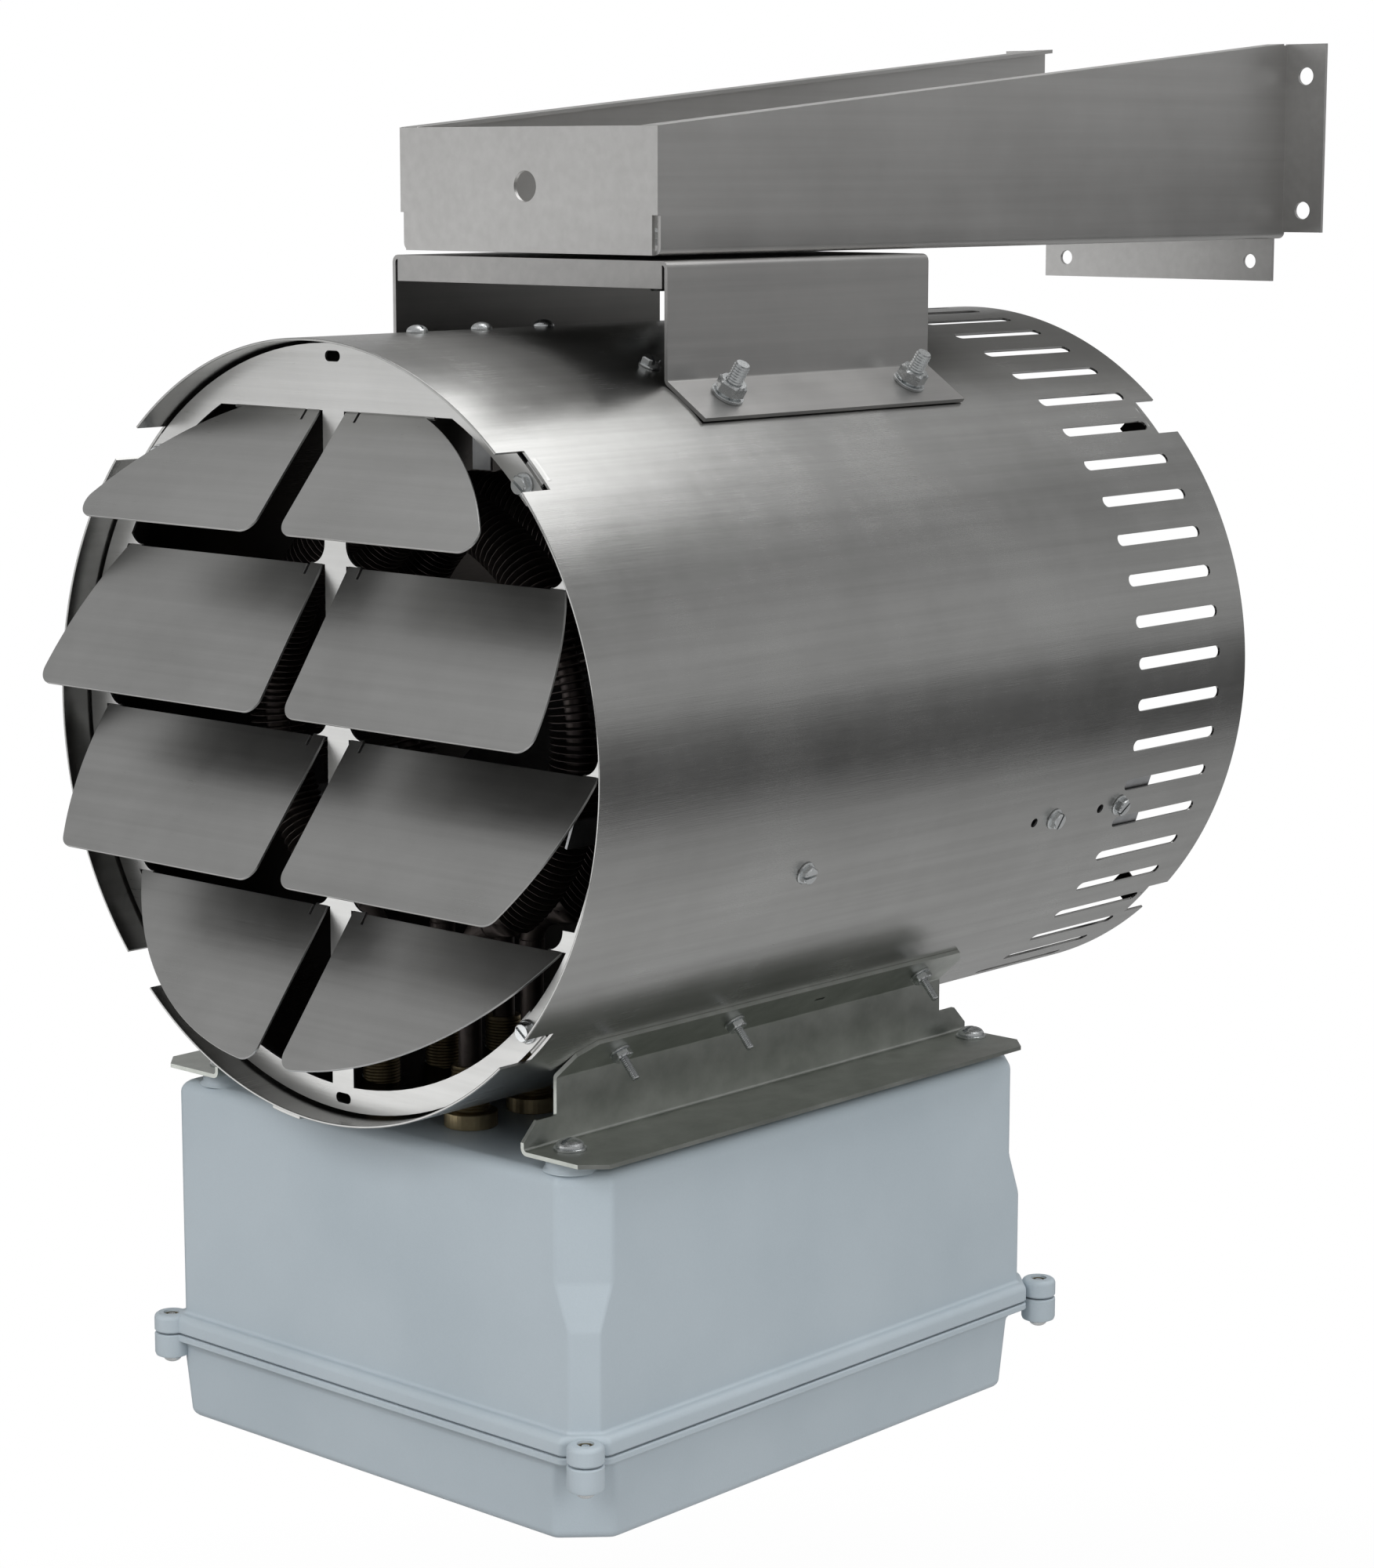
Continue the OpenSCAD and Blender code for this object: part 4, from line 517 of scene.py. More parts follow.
ALONG_X, ALONG_Y, EVEN = (0.018, 1.0, 1.0), (1.0, 0.018, 1.0), (1.0, 1.0, 1.0)
# The drum's steel carries painted shade on its inside
steel_drum = metal("steel_drum", (0.56, 0.56, 0.55), (0.44, 0.44, 0.43), (0.20, 0.30), ALONG_Y,
                   wave_depth=0.0011, dusty=0.1, shade_inside=True)
steel_bracket = metal("steel_bracket", (0.63, 0.625, 0.615), (0.53, 0.525, 0.515), (0.34, 0.46),
                      ALONG_Y, dusty=0.15)
steel_saddle = metal("steel_saddle", (0.48, 0.475, 0.465), (0.39, 0.385, 0.38), (0.32, 0.44),
                     ALONG_Y)
steel_rail = metal("steel_rail", (0.58, 0.60, 0.565), (0.38, 0.40, 0.37), (0.28, 0.42),
                   (0.5, 0.35, 0.5), 0.3, wave_depth=0.0005, size=2.2, dusty=0.15)
steel_louver = metal("steel_louver", (0.66, 0.66, 0.65), (0.54, 0.54, 0.53), (0.26, 0.38), ALONG_X,
                     wave_depth=0.0004)
zinc = metal("zinc_plate", (0.78, 0.80, 0.80), (0.60, 0.62, 0.63), (0.20, 0.34), EVEN, 0.1)
brass = metal("brass_fitting", (0.46, 0.38, 0.23), (0.30, 0.24, 0.14), (0.34, 0.5), EVEN, 0.12)
galvanised = metal("galvanised_sheet", (0.60, 0.61, 0.62), (0.44, 0.45, 0.46), (0.36, 0.52),
                   (0.6, 0.6, 0.6), 0.15, size=2.5, dusty=0.2)
fan_metal = metal("fan_aluminium", (0.44, 0.44, 0.45), (0.30, 0.30, 0.31), (0.38, 0.52), ALONG_Y,
                  dusty=0.3)
element_steel = metal("element_sheath", (0.17, 0.145, 0.13), (0.09, 0.075, 0.075), (0.42, 0.6),
                      EVEN, 0.2, dusty=0.2, metallic=0.85)
print("metals:", [made.name for made in (steel_drum, steel_bracket, steel_saddle, steel_rail,
                                         steel_louver, zinc, brass, galvanised, fan_metal,
                                         element_steel)])

# %% [markdown]
# ## Plastics, paint and ceramic
# The control box is moulded in a pale blue grey with a fine matte texture that scatters
# the highlight. Black paint, black and white devices and the rubber seal use the same
# recipe with other colours: a slow drift of tone from the moulding, a fine speckle, and
# a bump of a few hundredths of a millimetre.

# %% A function for what is moulded or painted, and the six such materials
MOULD_DUST, SPECKLE_HEIGHT = (0.36, 0.34, 0.31), 0.00008


def moulded(name, light, dark, rough, speckle_grain=1500.0, depth=0.12, dusty=0.0, coat=0.0):
    """light and dark are colours; rough is (smoothest, roughest); depth is the bump's strength."""
    material, tree, place, shader = start_material(name)
    skin = place_group(tree, mould, (-1200, 100), place, Grain=speckle_grain)
    speckle = skin.outputs["Speckle"]
    tone = weighed(tree, speckle, 0.3, skin.outputs["Flow"], 0.7, (-900, 100))
    colour = mixed(tree, tone, dark, light, (-500, 100))
    if dusty:
        colour = dusted(tree, place, colour, dusty, MOULD_DUST)
    join(tree, (colour, shader.inputs["Base Color"]),
         (spread(tree, speckle, 0.0, 1.0, *rough, (-500, -200)), shader.inputs["Roughness"]))
    if coat:
        shader.inputs["Coat Weight"].default_value = coat
    add_bump(tree, shader, skin.outputs["Height"], depth, SPECKLE_HEIGHT)
    return material


box_plastic = moulded("box_moulding", (0.465, 0.53, 0.575), (0.415, 0.48, 0.525), (0.40, 0.50),
                      1300.0, 0.16, dusty=0.08)
motor_paint = moulded("motor_black", (0.030, 0.030, 0.033), (0.018, 0.018, 0.020), (0.34, 0.46),
                      700.0, 0.2, dusty=0.25, coat=0.1)
device_black = moulded("device_moulding", (0.040, 0.040, 0.042), (0.028, 0.028, 0.030),
                       (0.42, 0.55))
ceramic_white = moulded("ceramic_glaze", (0.80, 0.79, 0.75), (0.72, 0.71, 0.67), (0.22, 0.32),
                        900.0, 0.05)
coil_iron = moulded("coil_varnish", (0.20, 0.12, 0.06), (0.13, 0.075, 0.04), (0.30, 0.45),
                    300.0, 0.2)
gasket_rubber = moulded("gasket_black", (0.025, 0.025, 0.025), (0.014, 0.014, 0.014), (0.6, 0.75),
                        500.0, 0.2)
print("moulded and painted: 6 materials")

# %% Every CAD node gets the material of its slot
SLOT_MATERIALS = {
    "stainless_bracket": steel_bracket, "stainless_casing": steel_drum,
    "stainless_louver": steel_louver, "stainless_rail": steel_rail, "zinc": zinc, "brass": brass,
    "box_plastic": box_plastic, "motor_paint": motor_paint, "fan_metal": fan_metal,
    "element_steel": element_steel, "galvanised": galvanised, "ceramic_white": ceramic_white,
    "coil_iron": coil_iron, "device_black": device_black, "gasket_rubber": gasket_rubber}
slot_of = {part["node"]: part["material_slot"] for part in frame["record"]["subparts"]}
body_of = {node: body for body, nodes in frame["record"]["behaviour"]["bodies"].items()
           for node in nodes}


def finish_of(node):
    return steel_saddle if node == "saddle" else SLOT_MATERIALS[slot_of[node]]


for name, node_object in frame["nodes"].items():
    node_object.data.materials.clear()
    node_object.data.materials.append(finish_of(name))
print("nodes painted:", len(frame["nodes"]))

# %% [markdown]
# ## Bent sheet: the bracket, saddle, rails, louvre plate and its blades
# These pieces are flat sheet, sheared, punched and folded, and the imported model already
# has their true shape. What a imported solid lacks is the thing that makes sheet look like
# sheet: an edge that has been tumbled or deburred, a fraction of a millimetre round, that
# catches a thread of light. The pieces could be rebuilt by hand, but it is surer to take
# a copy of the node's mesh, join its loose triangles, melt the flat ones together into
# whole faces, and let a narrow bevel run along every real edge. The bevel hardens the
# normals, so the flats stay flat and only the rounding is shaded round.

# %% Helpers that make, finish and shade a mesh, and settle a piece on its body
SHARP = 38          # degrees: an edge sharper than this is a real edge of the sheet


def new_object(name, mesh):
    made = bpy.data.objects.new(name, mesh)
    bpy.context.collection.objects.link(made)
    return made


def from_bmesh(name, work, turn_out=True):
    """The bmesh as a new object, its faces turned outwards; the bmesh is used up."""
    if turn_out:
        bmesh.ops.recalc_face_normals(work, faces=work.faces)
    mesh = bpy.data.meshes.new(name)
    work.to_mesh(mesh)
    work.free()
    return new_object(name, mesh)


def finished(obj):
    """The object's evaluated mesh as a new plain object of the same name."""
    name = obj.name
    depsgraph = bpy.context.evaluated_depsgraph_get()
    mesh = bpy.data.meshes.new_from_object(obj.evaluated_get(depsgraph),
                                           preserve_all_data_layers=True, depsgraph=depsgraph)
    old = obj.data
    bpy.data.objects.remove(obj)
    if isinstance(old, bpy.types.Mesh) and old.users == 0:
        bpy.data.meshes.remove(old)
    mesh.name = name
    return new_object(name, mesh)


def shaded(mesh, degrees, weld=False):
    """Smooth everywhere but across edges sharper than that; weld joins doubled points first."""
    work = bmesh.new()
    work.from_mesh(mesh)
    if weld:
        bmesh.ops.remove_doubles(work, verts=work.verts, dist=2e-6)
    for face in work.faces:
        face.smooth = True
    for edge in work.edges:
        edge.smooth = edge.calc_face_angle(0.0) < math.radians(degrees)
    work.to_mesh(mesh)
    work.free()


def softened(piece, width, segments=2, degrees=SHARP):
    """Rounds the edges that are sharper than degrees by width, in millimetres."""
    shaded(piece.data, degrees)
    bevel = piece.modifiers.new("edge", "BEVEL")
    bevel.width = width * MM
    bevel.segments = segments
    bevel.limit_method = "ANGLE"
    bevel.angle_limit = math.radians(degrees)
    bevel.harden_normals = True
    return finished(piece)


def settle(piece, node):
    """The piece stands for the node: it rides on its body and has its finish."""
    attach(piece, body_of[node])
    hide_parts(node)
    if not piece.data.materials:
        piece.data.materials.append(finish_of(node))
    return piece


def triangles(piece):
    return sum(len(face.vertices) - 2 for face in piece.data.polygons)


def joined_copy(name, node):
    """The node's mesh with its loose triangles joined, and its flats melted into whole faces."""
    work = bmesh.new()
    mesh = frame["nodes"][node].data.copy()
    work.from_mesh(mesh)
    bmesh.ops.remove_doubles(work, verts=work.verts, dist=2e-6)
    bmesh.ops.dissolve_limit(work, angle_limit=math.radians(0.4), verts=work.verts,
                             edges=work.edges)
    work.to_mesh(mesh)
    work.free()
    return new_object(name, mesh)


def dress(edges):
    """Every node with all its real edges rounded by its width, in millimetres."""
    for node, width in edges.items():
        piece = settle(softened(joined_copy(node + "_sheet", node), width), node)
        print(f"{piece.name}: {triangles(piece)} triangles")


# %% The sheets, each with the rounding of its own thickness
dress({"bracket": 0.35, "saddle": 0.3, "rail_left": 0.3, "rail_right": 0.3, "louver_plate": 0.22,
       "motor_cradle": 0.25, "element_hangers": 0.25, "element_stays": 0.25, "panel": 0.25})

# %% [markdown]
# ## Geometry Nodes: small helpers
# Much of this heater is the same thing set out many times: 54 air slots, some fifty
# screws and nuts, three rings with a fin every few millimetres, five fan blades. Each
# is made by a Geometry Nodes tree with named inputs, so that its sizes stay in one
# place. A tree grows from a seed mesh: points that say where, with attributes that say
# which way. The result is then turned into a plain mesh, because only plain meshes are
# carried over when the model is exported.

# %% Helpers for Geometry Nodes
def geometry_tree(name, inputs):
    """A tree with a Geometry input and output and the named inputs (name, socket)."""
    tree = bpy.data.node_groups.new(name, "GeometryNodeTree")
    tree.interface.new_socket(name="Geometry", in_out="INPUT", socket_type="NodeSocketGeometry")
    for label, socket in inputs:
        tree.interface.new_socket(name=label, in_out="INPUT", socket_type=socket)
    tree.interface.new_socket(name="Geometry", in_out="OUTPUT", socket_type="NodeSocketGeometry")
    source = tree.nodes.new("NodeGroupInput")
    source.location = (-400, 0)
    return tree, source.outputs


def step(tree, kind, inputs=None, **settings):
    """Adds a node to the right of the last one; inputs are values or the sockets that feed them."""
    node = tree.nodes.new(kind)
    node.location = (200 * (len(tree.nodes) % 12), -260 * (len(tree.nodes) // 12))
    for name, value in settings.items():
        setattr(node, name, value)
    for key, value in (inputs or {}).items():
        for each in value if isinstance(value, list) else [value]:
            if isinstance(each, bpy.types.NodeSocket):
                tree.links.new(each, node.inputs[key])
            else:
                node.inputs[key].default_value = each
    return node.outputs[0]


def sum_up(tree, operation, a, b):
    """One step of arithmetic between numbers or sockets."""
    return step(tree, "ShaderNodeMath", {0: a, 1: b}, operation=operation)


def vector_of(tree, x=0.0, y=0.0, z=0.0):
    return step(tree, "ShaderNodeCombineXYZ", {"X": x, "Y": y, "Z": z})


def attribute(tree, name, data_type):
    return step(tree, "GeometryNodeInputNamedAttribute", {"Name": name}, data_type=data_type)


def end_tree(tree, geometry, material):
    """Realize Instances and Set Material come last, then the output."""
    real = step(tree, "GeometryNodeRealizeInstances", {"Geometry": geometry})
    painted = step(tree, "GeometryNodeSetMaterial", {"Geometry": real, "Material": material})
    out = tree.nodes.new("NodeGroupOutput")
    out.location = (2600, 0)
    tree.links.new(painted, out.inputs[0])


def seed_points(name, places, **attributes):
    """A mesh of loose points; each attribute holds a vector or a number for every point."""
    mesh = bpy.data.meshes.new(name)
    mesh.from_pydata([tuple(place) for place in places], [], [])
    for label, values in attributes.items():
        is_vector = hasattr(values[0], "__len__")
        layer = mesh.attributes.new(label, "FLOAT_VECTOR" if is_vector else "FLOAT", "POINT")
        for item, value in zip(layer.data, values):
            if is_vector:
                item.vector = value
            else:
                item.value = value
    return mesh


def grown(name, seed, tree, **values):
    """Runs the tree on the seed with its named inputs set, and returns a plain mesh object."""
    obj = new_object(name, seed)
    modifier = obj.modifiers.new("grow", "NODES")
    modifier.node_group = tree
    names = {item.name.replace(" ", "_"): item.identifier for item in tree.interface.items_tree
             if item.in_out == "INPUT"}
    for label, value in values.items():
        modifier[names[label]] = value
    made = finished(obj)
    made.data.materials.clear()
    made.data.materials.append(values["Material"])
    for face in made.data.polygons:
        face.material_index = 0
    return made


# %% [markdown]
# ## The drum
# The casing is one sheet of stainless steel rolled into a tube and lapped underneath,
# with 54 round-ended air slots at the back and four notches in each rim, where tabs are
# bent inwards where the louvre plate is screwed on in front. It could be cut in mesh
# code, but its shape follows a rule, so a tree makes it: a thin profile with rounded
# rims is swept round a circle, one slot cutter is set out round the axis, the drilled
# holes come from seed points that carry a direction and a bore, and one boolean takes
# everything away. The walls then get exact radial normals, so that the faceted tube
# reflects like a truly round one.

# %% The tree of the slotted drum
LENGTH, COUNT, PAINT = "NodeSocketFloat", "NodeSocketInt", "NodeSocketMaterial"
drum_tree, given = geometry_tree("slotted_drum", [
    ("Radius", LENGTH), ("Wall", LENGTH), ("Length", LENGTH), ("Front", "NodeSocketVector"),
    ("Slots", COUNT), ("Slot Middle", LENGTH), ("Slot Length", LENGTH), ("Slot Width", LENGTH),
    ("Notch Width", LENGTH), ("Notch Depth", LENGTH), ("Material", PAINT)])
middle_r = sum_up(drum_tree, "MULTIPLY_ADD", given["Wall"], -0.5)
drum_tree.links.new(given["Radius"], middle_r.node.inputs[2])
hoop = step(drum_tree, "GeometryNodeCurvePrimitiveCircle",
            {"Resolution": 324, "Radius": middle_r}, mode="RADIUS")
profile = step(drum_tree, "GeometryNodeCurvePrimitiveQuadrilateral",
               {"Width": given["Wall"], "Height": given["Length"]}, mode="RECTANGLE")
profile = step(drum_tree, "GeometryNodeFilletCurve",
               {"Curve": profile, "Radius": sum_up(drum_tree, "MULTIPLY", given["Wall"], 0.3),
                "Count": 2, "Limit Radius": True}, mode="POLY")
tube = step(drum_tree, "GeometryNodeCurveToMesh", {"Curve": hoop, "Profile Curve": profile})
half_length = sum_up(drum_tree, "MULTIPLY", given["Length"], 0.5)
tube = step(drum_tree, "GeometryNodeTransform", {"Geometry": tube, "Rotation": (math.pi / 2, 0, 0),
            "Translation": vector_of(drum_tree, 0.0, half_length)})

# %% Its cutters: slots, notches and drilled holes
over = 0.004        # how far a cutter reaches past the sheet, in metres
outline = step(drum_tree, "GeometryNodeCurvePrimitiveQuadrilateral",
               {"Width": given["Slot Width"], "Height": given["Slot Length"]}, mode="RECTANGLE")
round_ends = sum_up(drum_tree, "MULTIPLY", given["Slot Width"], 0.4999)
outline = step(drum_tree, "GeometryNodeFilletCurve",
               {"Curve": outline, "Radius": round_ends, "Count": 5}, mode="POLY")
sheet = step(drum_tree, "GeometryNodeFillCurve", {"Curve": outline}, mode="NGONS")
punch = step(drum_tree, "GeometryNodeExtrudeMesh", {"Mesh": sheet, "Offset": (0, 0, 1),
             "Offset Scale": 3 * over, "Individual": False}, mode="FACES")
punch = step(drum_tree, "GeometryNodeJoinGeometry",
             {0: [punch, step(drum_tree, "GeometryNodeFlipFaces", {"Mesh": sheet})]})
punch = step(drum_tree, "GeometryNodeMergeByDistance", {"Geometry": punch, "Distance": 1e-6})
punch_at = vector_of(drum_tree, 0.0, given["Slot Middle"],
                     sum_up(drum_tree, "SUBTRACT", given["Radius"], 2 * over))
punch = step(drum_tree, "GeometryNodeTransform", {"Geometry": punch, "Translation": punch_at})
pitch = sum_up(drum_tree, "DIVIDE", 2 * math.pi, given["Slots"])
index = step(drum_tree, "GeometryNodeInputIndex")
turns = step(drum_tree, "GeometryNodeMeshLine", {"Count": given["Slots"], "Offset": (0, 0, 0)})
slots = step(drum_tree, "GeometryNodeInstanceOnPoints", {"Points": turns, "Instance": punch,
             "Rotation": vector_of(drum_tree, 0.0, sum_up(drum_tree, "MULTIPLY", index, pitch))})

notch_size = vector_of(drum_tree, 4 * over,
                       sum_up(drum_tree, "MULTIPLY", given["Notch Depth"], 2), given["Notch Width"])
notch = step(drum_tree, "GeometryNodeMeshCube", {"Size": notch_size})
rims = []
for end in (0.0, given["Length"]):
    placed = step(drum_tree, "GeometryNodeTransform", {"Geometry": notch, "Translation": vector_of(
        drum_tree, given["Radius"], end)})
    four = step(drum_tree, "GeometryNodeMeshLine", {"Count": 4, "Offset": (0, 0, 0)})
    notch_turn = sum_up(drum_tree, "MULTIPLY_ADD", index, math.pi / 2)
    notch_turn.node.inputs[2].default_value = math.pi / 4
    rims.append(step(drum_tree, "GeometryNodeInstanceOnPoints", {
        "Points": four, "Instance": placed, "Rotation": vector_of(drum_tree, 0.0, notch_turn)}))

drill = step(drum_tree, "GeometryNodeMeshCylinder",
             {"Vertices": 24, "Radius": 1.0, "Depth": 6 * over})
bore = attribute(drum_tree, "bore", "FLOAT")
aim = attribute(drum_tree, "aim", "FLOAT_VECTOR")
holes = step(drum_tree, "GeometryNodeInstanceOnPoints", {
    "Points": given["Geometry"], "Instance": drill, "Scale": vector_of(drum_tree, bore, bore, 1.0),
    "Rotation": step(drum_tree, "FunctionNodeAlignRotationToVector", {"Vector": aim}, axis="Z")})
cutters = step(drum_tree, "GeometryNodeRealizeInstances", {
    "Geometry": step(drum_tree, "GeometryNodeJoinGeometry", {0: [slots, *rims, holes]})})
cut = step(drum_tree, "GeometryNodeMeshBoolean", {"Mesh 1": tube, "Mesh 2": cutters},
           operation="DIFFERENCE", solver="EXACT")
cut = step(drum_tree, "GeometryNodeMergeByDistance", {"Geometry": cut, "Distance": 2e-6})
cut = step(drum_tree, "GeometryNodeTransform", {"Geometry": cut, "Translation": given["Front"]})
end_tree(drum_tree, cut, given["Material"])
print("tree:", drum_tree.name, len(drum_tree.nodes), "nodes")

# %% Its seed: the drilled holes, each with a direction and a bore
SLOT_COUNT, SLOT_MIDDLE, SLOT_LENGTH, SLOT_WIDTH = 54, 0.421, 0.07, 0.006       # in metres
NOTCH_DEPTH, NOTCH_WIDTH, SCREW_HOLE, LEG_BORE, LEG_X = 17.0, 22.0, 2.4, 9.4, 30.0
ELEMENT_PLACES, SIDE_SCREW_Y = (68.0, 109.0, 150.0), 145.0
CRADLE_YS = (332.0, 386.0, 316.0, 370.0)            # two screws and two spare holes
SIDE_ANGLE, CUTOUT_ANGLE, FOOT_ANGLE = -20.0, 66.0, 56.0


def drum_hole(degrees, y, radius):
    """A hole square to the drum's wall, in the drum's own frame: its place, aim and bore."""
    out = outward(degrees)
    return Vector((0, y * MM, 0)) + out * DRUM_RADIUS, out, radius * MM


drilled = [drum_hole(angle, y, SCREW_HOLE) for angle in (SIDE_ANGLE, 180 - SIDE_ANGLE)
           for y in (SIDE_SCREW_Y, *CRADLE_YS)]
drilled += [drum_hole(CUTOUT_ANGLE, SIDE_SCREW_Y, SCREW_HOLE)]
drilled += [drum_hole(90.0, y, SCREW_HOLE) for y in ELEMENT_PLACES]
leg_z = -math.sqrt(DRUM_RADIUS ** 2 - (LEG_X * MM) ** 2)
drilled += [(Vector((side * LEG_X * MM, y * MM, leg_z)), Vector((0, 0, -1)), LEG_BORE * MM)
            for side in (-1, 1) for y in ELEMENT_PLACES]
hole_seed = seed_points("drum_holes", [h[0] for h in drilled], aim=[h[1] for h in drilled],
                        bore=[h[2] for h in drilled])
drum = grown("casing_drum", hole_seed, drum_tree, Radius=DRUM_RADIUS, Wall=DRUM_WALL,
             Length=DRUM_LENGTH, Front=tuple(drum_point(0, 0, 0)), Slots=SLOT_COUNT,
             Slot_Middle=SLOT_MIDDLE, Slot_Length=SLOT_LENGTH, Slot_Width=SLOT_WIDTH,
             Notch_Width=NOTCH_WIDTH * MM, Notch_Depth=NOTCH_DEPTH * MM, Material=steel_drum)
print(f"{drum.name}: {triangles(drum)} triangles, {len(drilled)} drilled holes")


# %% Exact normals: a wall's normal points straight out from the axis, or straight in
def round_normals(piece, centre_x, centre_z, tolerance=4.0):
    """Sets radial normals on faces that lie round the Y axis, and flat ones elsewhere."""
    mesh = piece.data
    limit = math.cos(math.radians(tolerance))
    normals = [None] * len(mesh.loops)
    for face in mesh.polygons:
        flat = face.normal
        middle = Vector((face.center.x - centre_x, 0, face.center.z - centre_z)).normalized()
        turn = flat.dot(middle)
        for loop in face.loop_indices:
            place = mesh.vertices[mesh.loops[loop].vertex_index].co
            out = Vector((place.x - centre_x, 0, place.z - centre_z)).normalized()
            normals[loop] = out * (1 if turn > 0 else -1) if abs(turn) > limit else flat.copy()
    for face in mesh.polygons:
        face.use_smooth = True
    mesh.normals_split_custom_set(normals)


AXIS = drum_point(0, 0, 0)
round_normals(drum, AXIS.x, AXIS.z)
settle(drum, "casing")

# %% [markdown]
# ## The lapped seam and the bent tabs
# A rolled sheet has to close somewhere. Here one edge laps over the other underneath the
# drum, so a strip one sheet thick stands proud for a finger's width. In each notch a tab
# is left and folded inwards: the louvre plate is screwed to the front four. The strip is
# a closed section pushed along the drum. The tab is an outline of the fold, seen from
# the side, given its width, and both get the thin bevel of cut sheet.

# %% A closed outline pushed along a direction
def pushed_outline(name, outline, along):
    """A closed solid: the outline's points (vectors) moved along a vector, and both ends closed."""
    work = bmesh.new()
    near = [work.verts.new(point) for point in outline]
    far = [work.verts.new(Vector(point) + along) for point in outline]
    work.faces.new(near)
    work.faces.new(far[::-1])
    for i in range(len(near)):
        work.faces.new((near[i - 1], near[i], far[i], far[i - 1]))
    return from_bmesh(name, work)


# %% The seam underneath
SEAM_ANGLE, SEAM_SPAN, SEAM_STEPS = 263.0, 6.0, 8
outer = DRUM_RADIUS / MM + DRUM_WALL / MM
inner = DRUM_RADIUS / MM - 0.4
angles = [SEAM_ANGLE - SEAM_SPAN / 2 + SEAM_SPAN * i / SEAM_STEPS for i in range(SEAM_STEPS + 1)]
section = [round_drum(a, outer, 0) for a in angles]
section += [round_drum(a, inner, 0) for a in angles[::-1]]
seam = pushed_outline("casing_seam", section, Vector((0, DRUM_LENGTH, 0)))
seam = settle(softened(seam, 0.25), "casing")
print("seam:", triangles(seam), "triangles")

# %% The tree that sets a seed object out on points, and the eight tabs
set_out_tree, given = geometry_tree("set_out", [
    ("Item", "NodeSocketObject"), ("Spin Seed", COUNT), ("Spin Share", LENGTH),
    ("Material", PAINT)])
item = step(set_out_tree, "GeometryNodeObjectInfo", {"Object": given["Item"]})
item = item.node.outputs["Geometry"]
random_turn = step(set_out_tree, "FunctionNodeRandomValue", {"Seed": given["Spin Seed"]},
                   data_type="FLOAT")
random_turn = random_turn.node.outputs[1]
spin = sum_up(set_out_tree, "MULTIPLY",
              sum_up(set_out_tree, "MULTIPLY", random_turn, given["Spin Share"]), math.tau)
aim = step(set_out_tree, "FunctionNodeAxesToRotation", {
    "Primary Axis": attribute(set_out_tree, "aim", "FLOAT_VECTOR"),
    "Secondary Axis": attribute(set_out_tree, "side", "FLOAT_VECTOR")}, primary_axis="Z",
    secondary_axis="X")
about = step(set_out_tree, "FunctionNodeAxisAngleToRotation", {"Axis": (0, 0, 1), "Angle": spin})
turned = step(set_out_tree, "FunctionNodeRotateRotation", {"Rotation": aim, "Rotate By": about},
              rotation_space="LOCAL")
placed = step(set_out_tree, "GeometryNodeInstanceOnPoints", {
    "Points": given["Geometry"], "Instance": item, "Rotation": turned})
end_tree(set_out_tree, placed, given["Material"])


def side_of(aim_vector):
    """A direction square to the aim, as level as can be."""
    across = Vector((0, 1, 0)) if abs(aim_vector.y) < 0.9 else Vector((1, 0, 0))
    return (across - aim_vector * across.dot(aim_vector)).normalized()


def set_out(node, name, item, places, aims, seed=1, spin_share=0.0, sides=None):
    """The item, used up, at every place: Z along the aim, spun by a share of a whole turn."""
    points = seed_points(name + "_points", places, aim=aims,
                         side=sides or [side_of(a) for a in aims])
    made = grown(name, points, set_out_tree, Item=item, Spin_Seed=seed, Spin_Share=spin_share,
                 Material=finish_of(node))
    bpy.data.objects.remove(item)
    return settle(made, node)


def fold_outline(reach, wall, bend, root, steps=5):
    """Side view of a folded tab: up the wall from the root, round the bend, out by the reach."""
    points = []
    for radius, forward in ((bend + wall, True), (bend, False)):
        turn = [math.pi / 2 * i / steps for i in range(steps + 1)]
        arc = [(bend + wall - radius * math.cos(t), bend + wall - radius * math.sin(t))
               for t in turn]
        side = [(bend + wall - radius, root)] + arc + [(reach, bend + wall - radius)]
        points += side if forward else side[::-1]
    return points


TAB_WIDTH, TAB_REACH, TAB_BEND, TAB_ROOT = 13.0, 15.0, 1.2, 4.0
fold = fold_outline(TAB_REACH + DRUM_WALL / MM, DRUM_WALL / MM, TAB_BEND, TAB_ROOT)
# The seed looks along +Z out of the drum, its X axis runs along the drum and Y across it
tab_outline = [Vector((y, -TAB_WIDTH / 2, -x)) * MM for x, y in fold]
tab = softened(pushed_outline("tab_item", tab_outline, Vector((0, TAB_WIDTH * MM, 0))), 0.25)
places, aims, sides = [], [], []
for corner in range(4):
    out = outward(45 + 90 * corner)
    for y, along in ((NOTCH_DEPTH * MM, 1), (DRUM_LENGTH - NOTCH_DEPTH * MM, -1)):
        places.append(Vector((0, DRUM_FRONT + y, DRUM_AXIS_Z)) + out * DRUM_RADIUS)
        aims.append(out)
        sides.append(Vector((0, along, 0)))
tabs = set_out("casing", "casing_tabs", tab, places, aims, sides=sides)
print("tabs:", triangles(tabs), "triangles")

# %% [markdown]
# ## The control box and its lid
# Both are injection mouldings, and what makes a moulding look moulded is that it has no
# sharp edge anywhere: a top edge rounded by six millimetres, a bead all round the mouth,
# corners cut away along a plane that narrows halfway down, walls that lean in a little.
# A bevel could round a plain block, but not with a different radius for each edge. So
# the skin is lofted instead: one outline with eight rounded corners is repeated down a
# profile, each level with its own height, offset and corner cut, and the levels are
# joined. One corner, at the front on the left, is plain. Ears, bosses and holes are
# added and taken away by booleans afterwards.

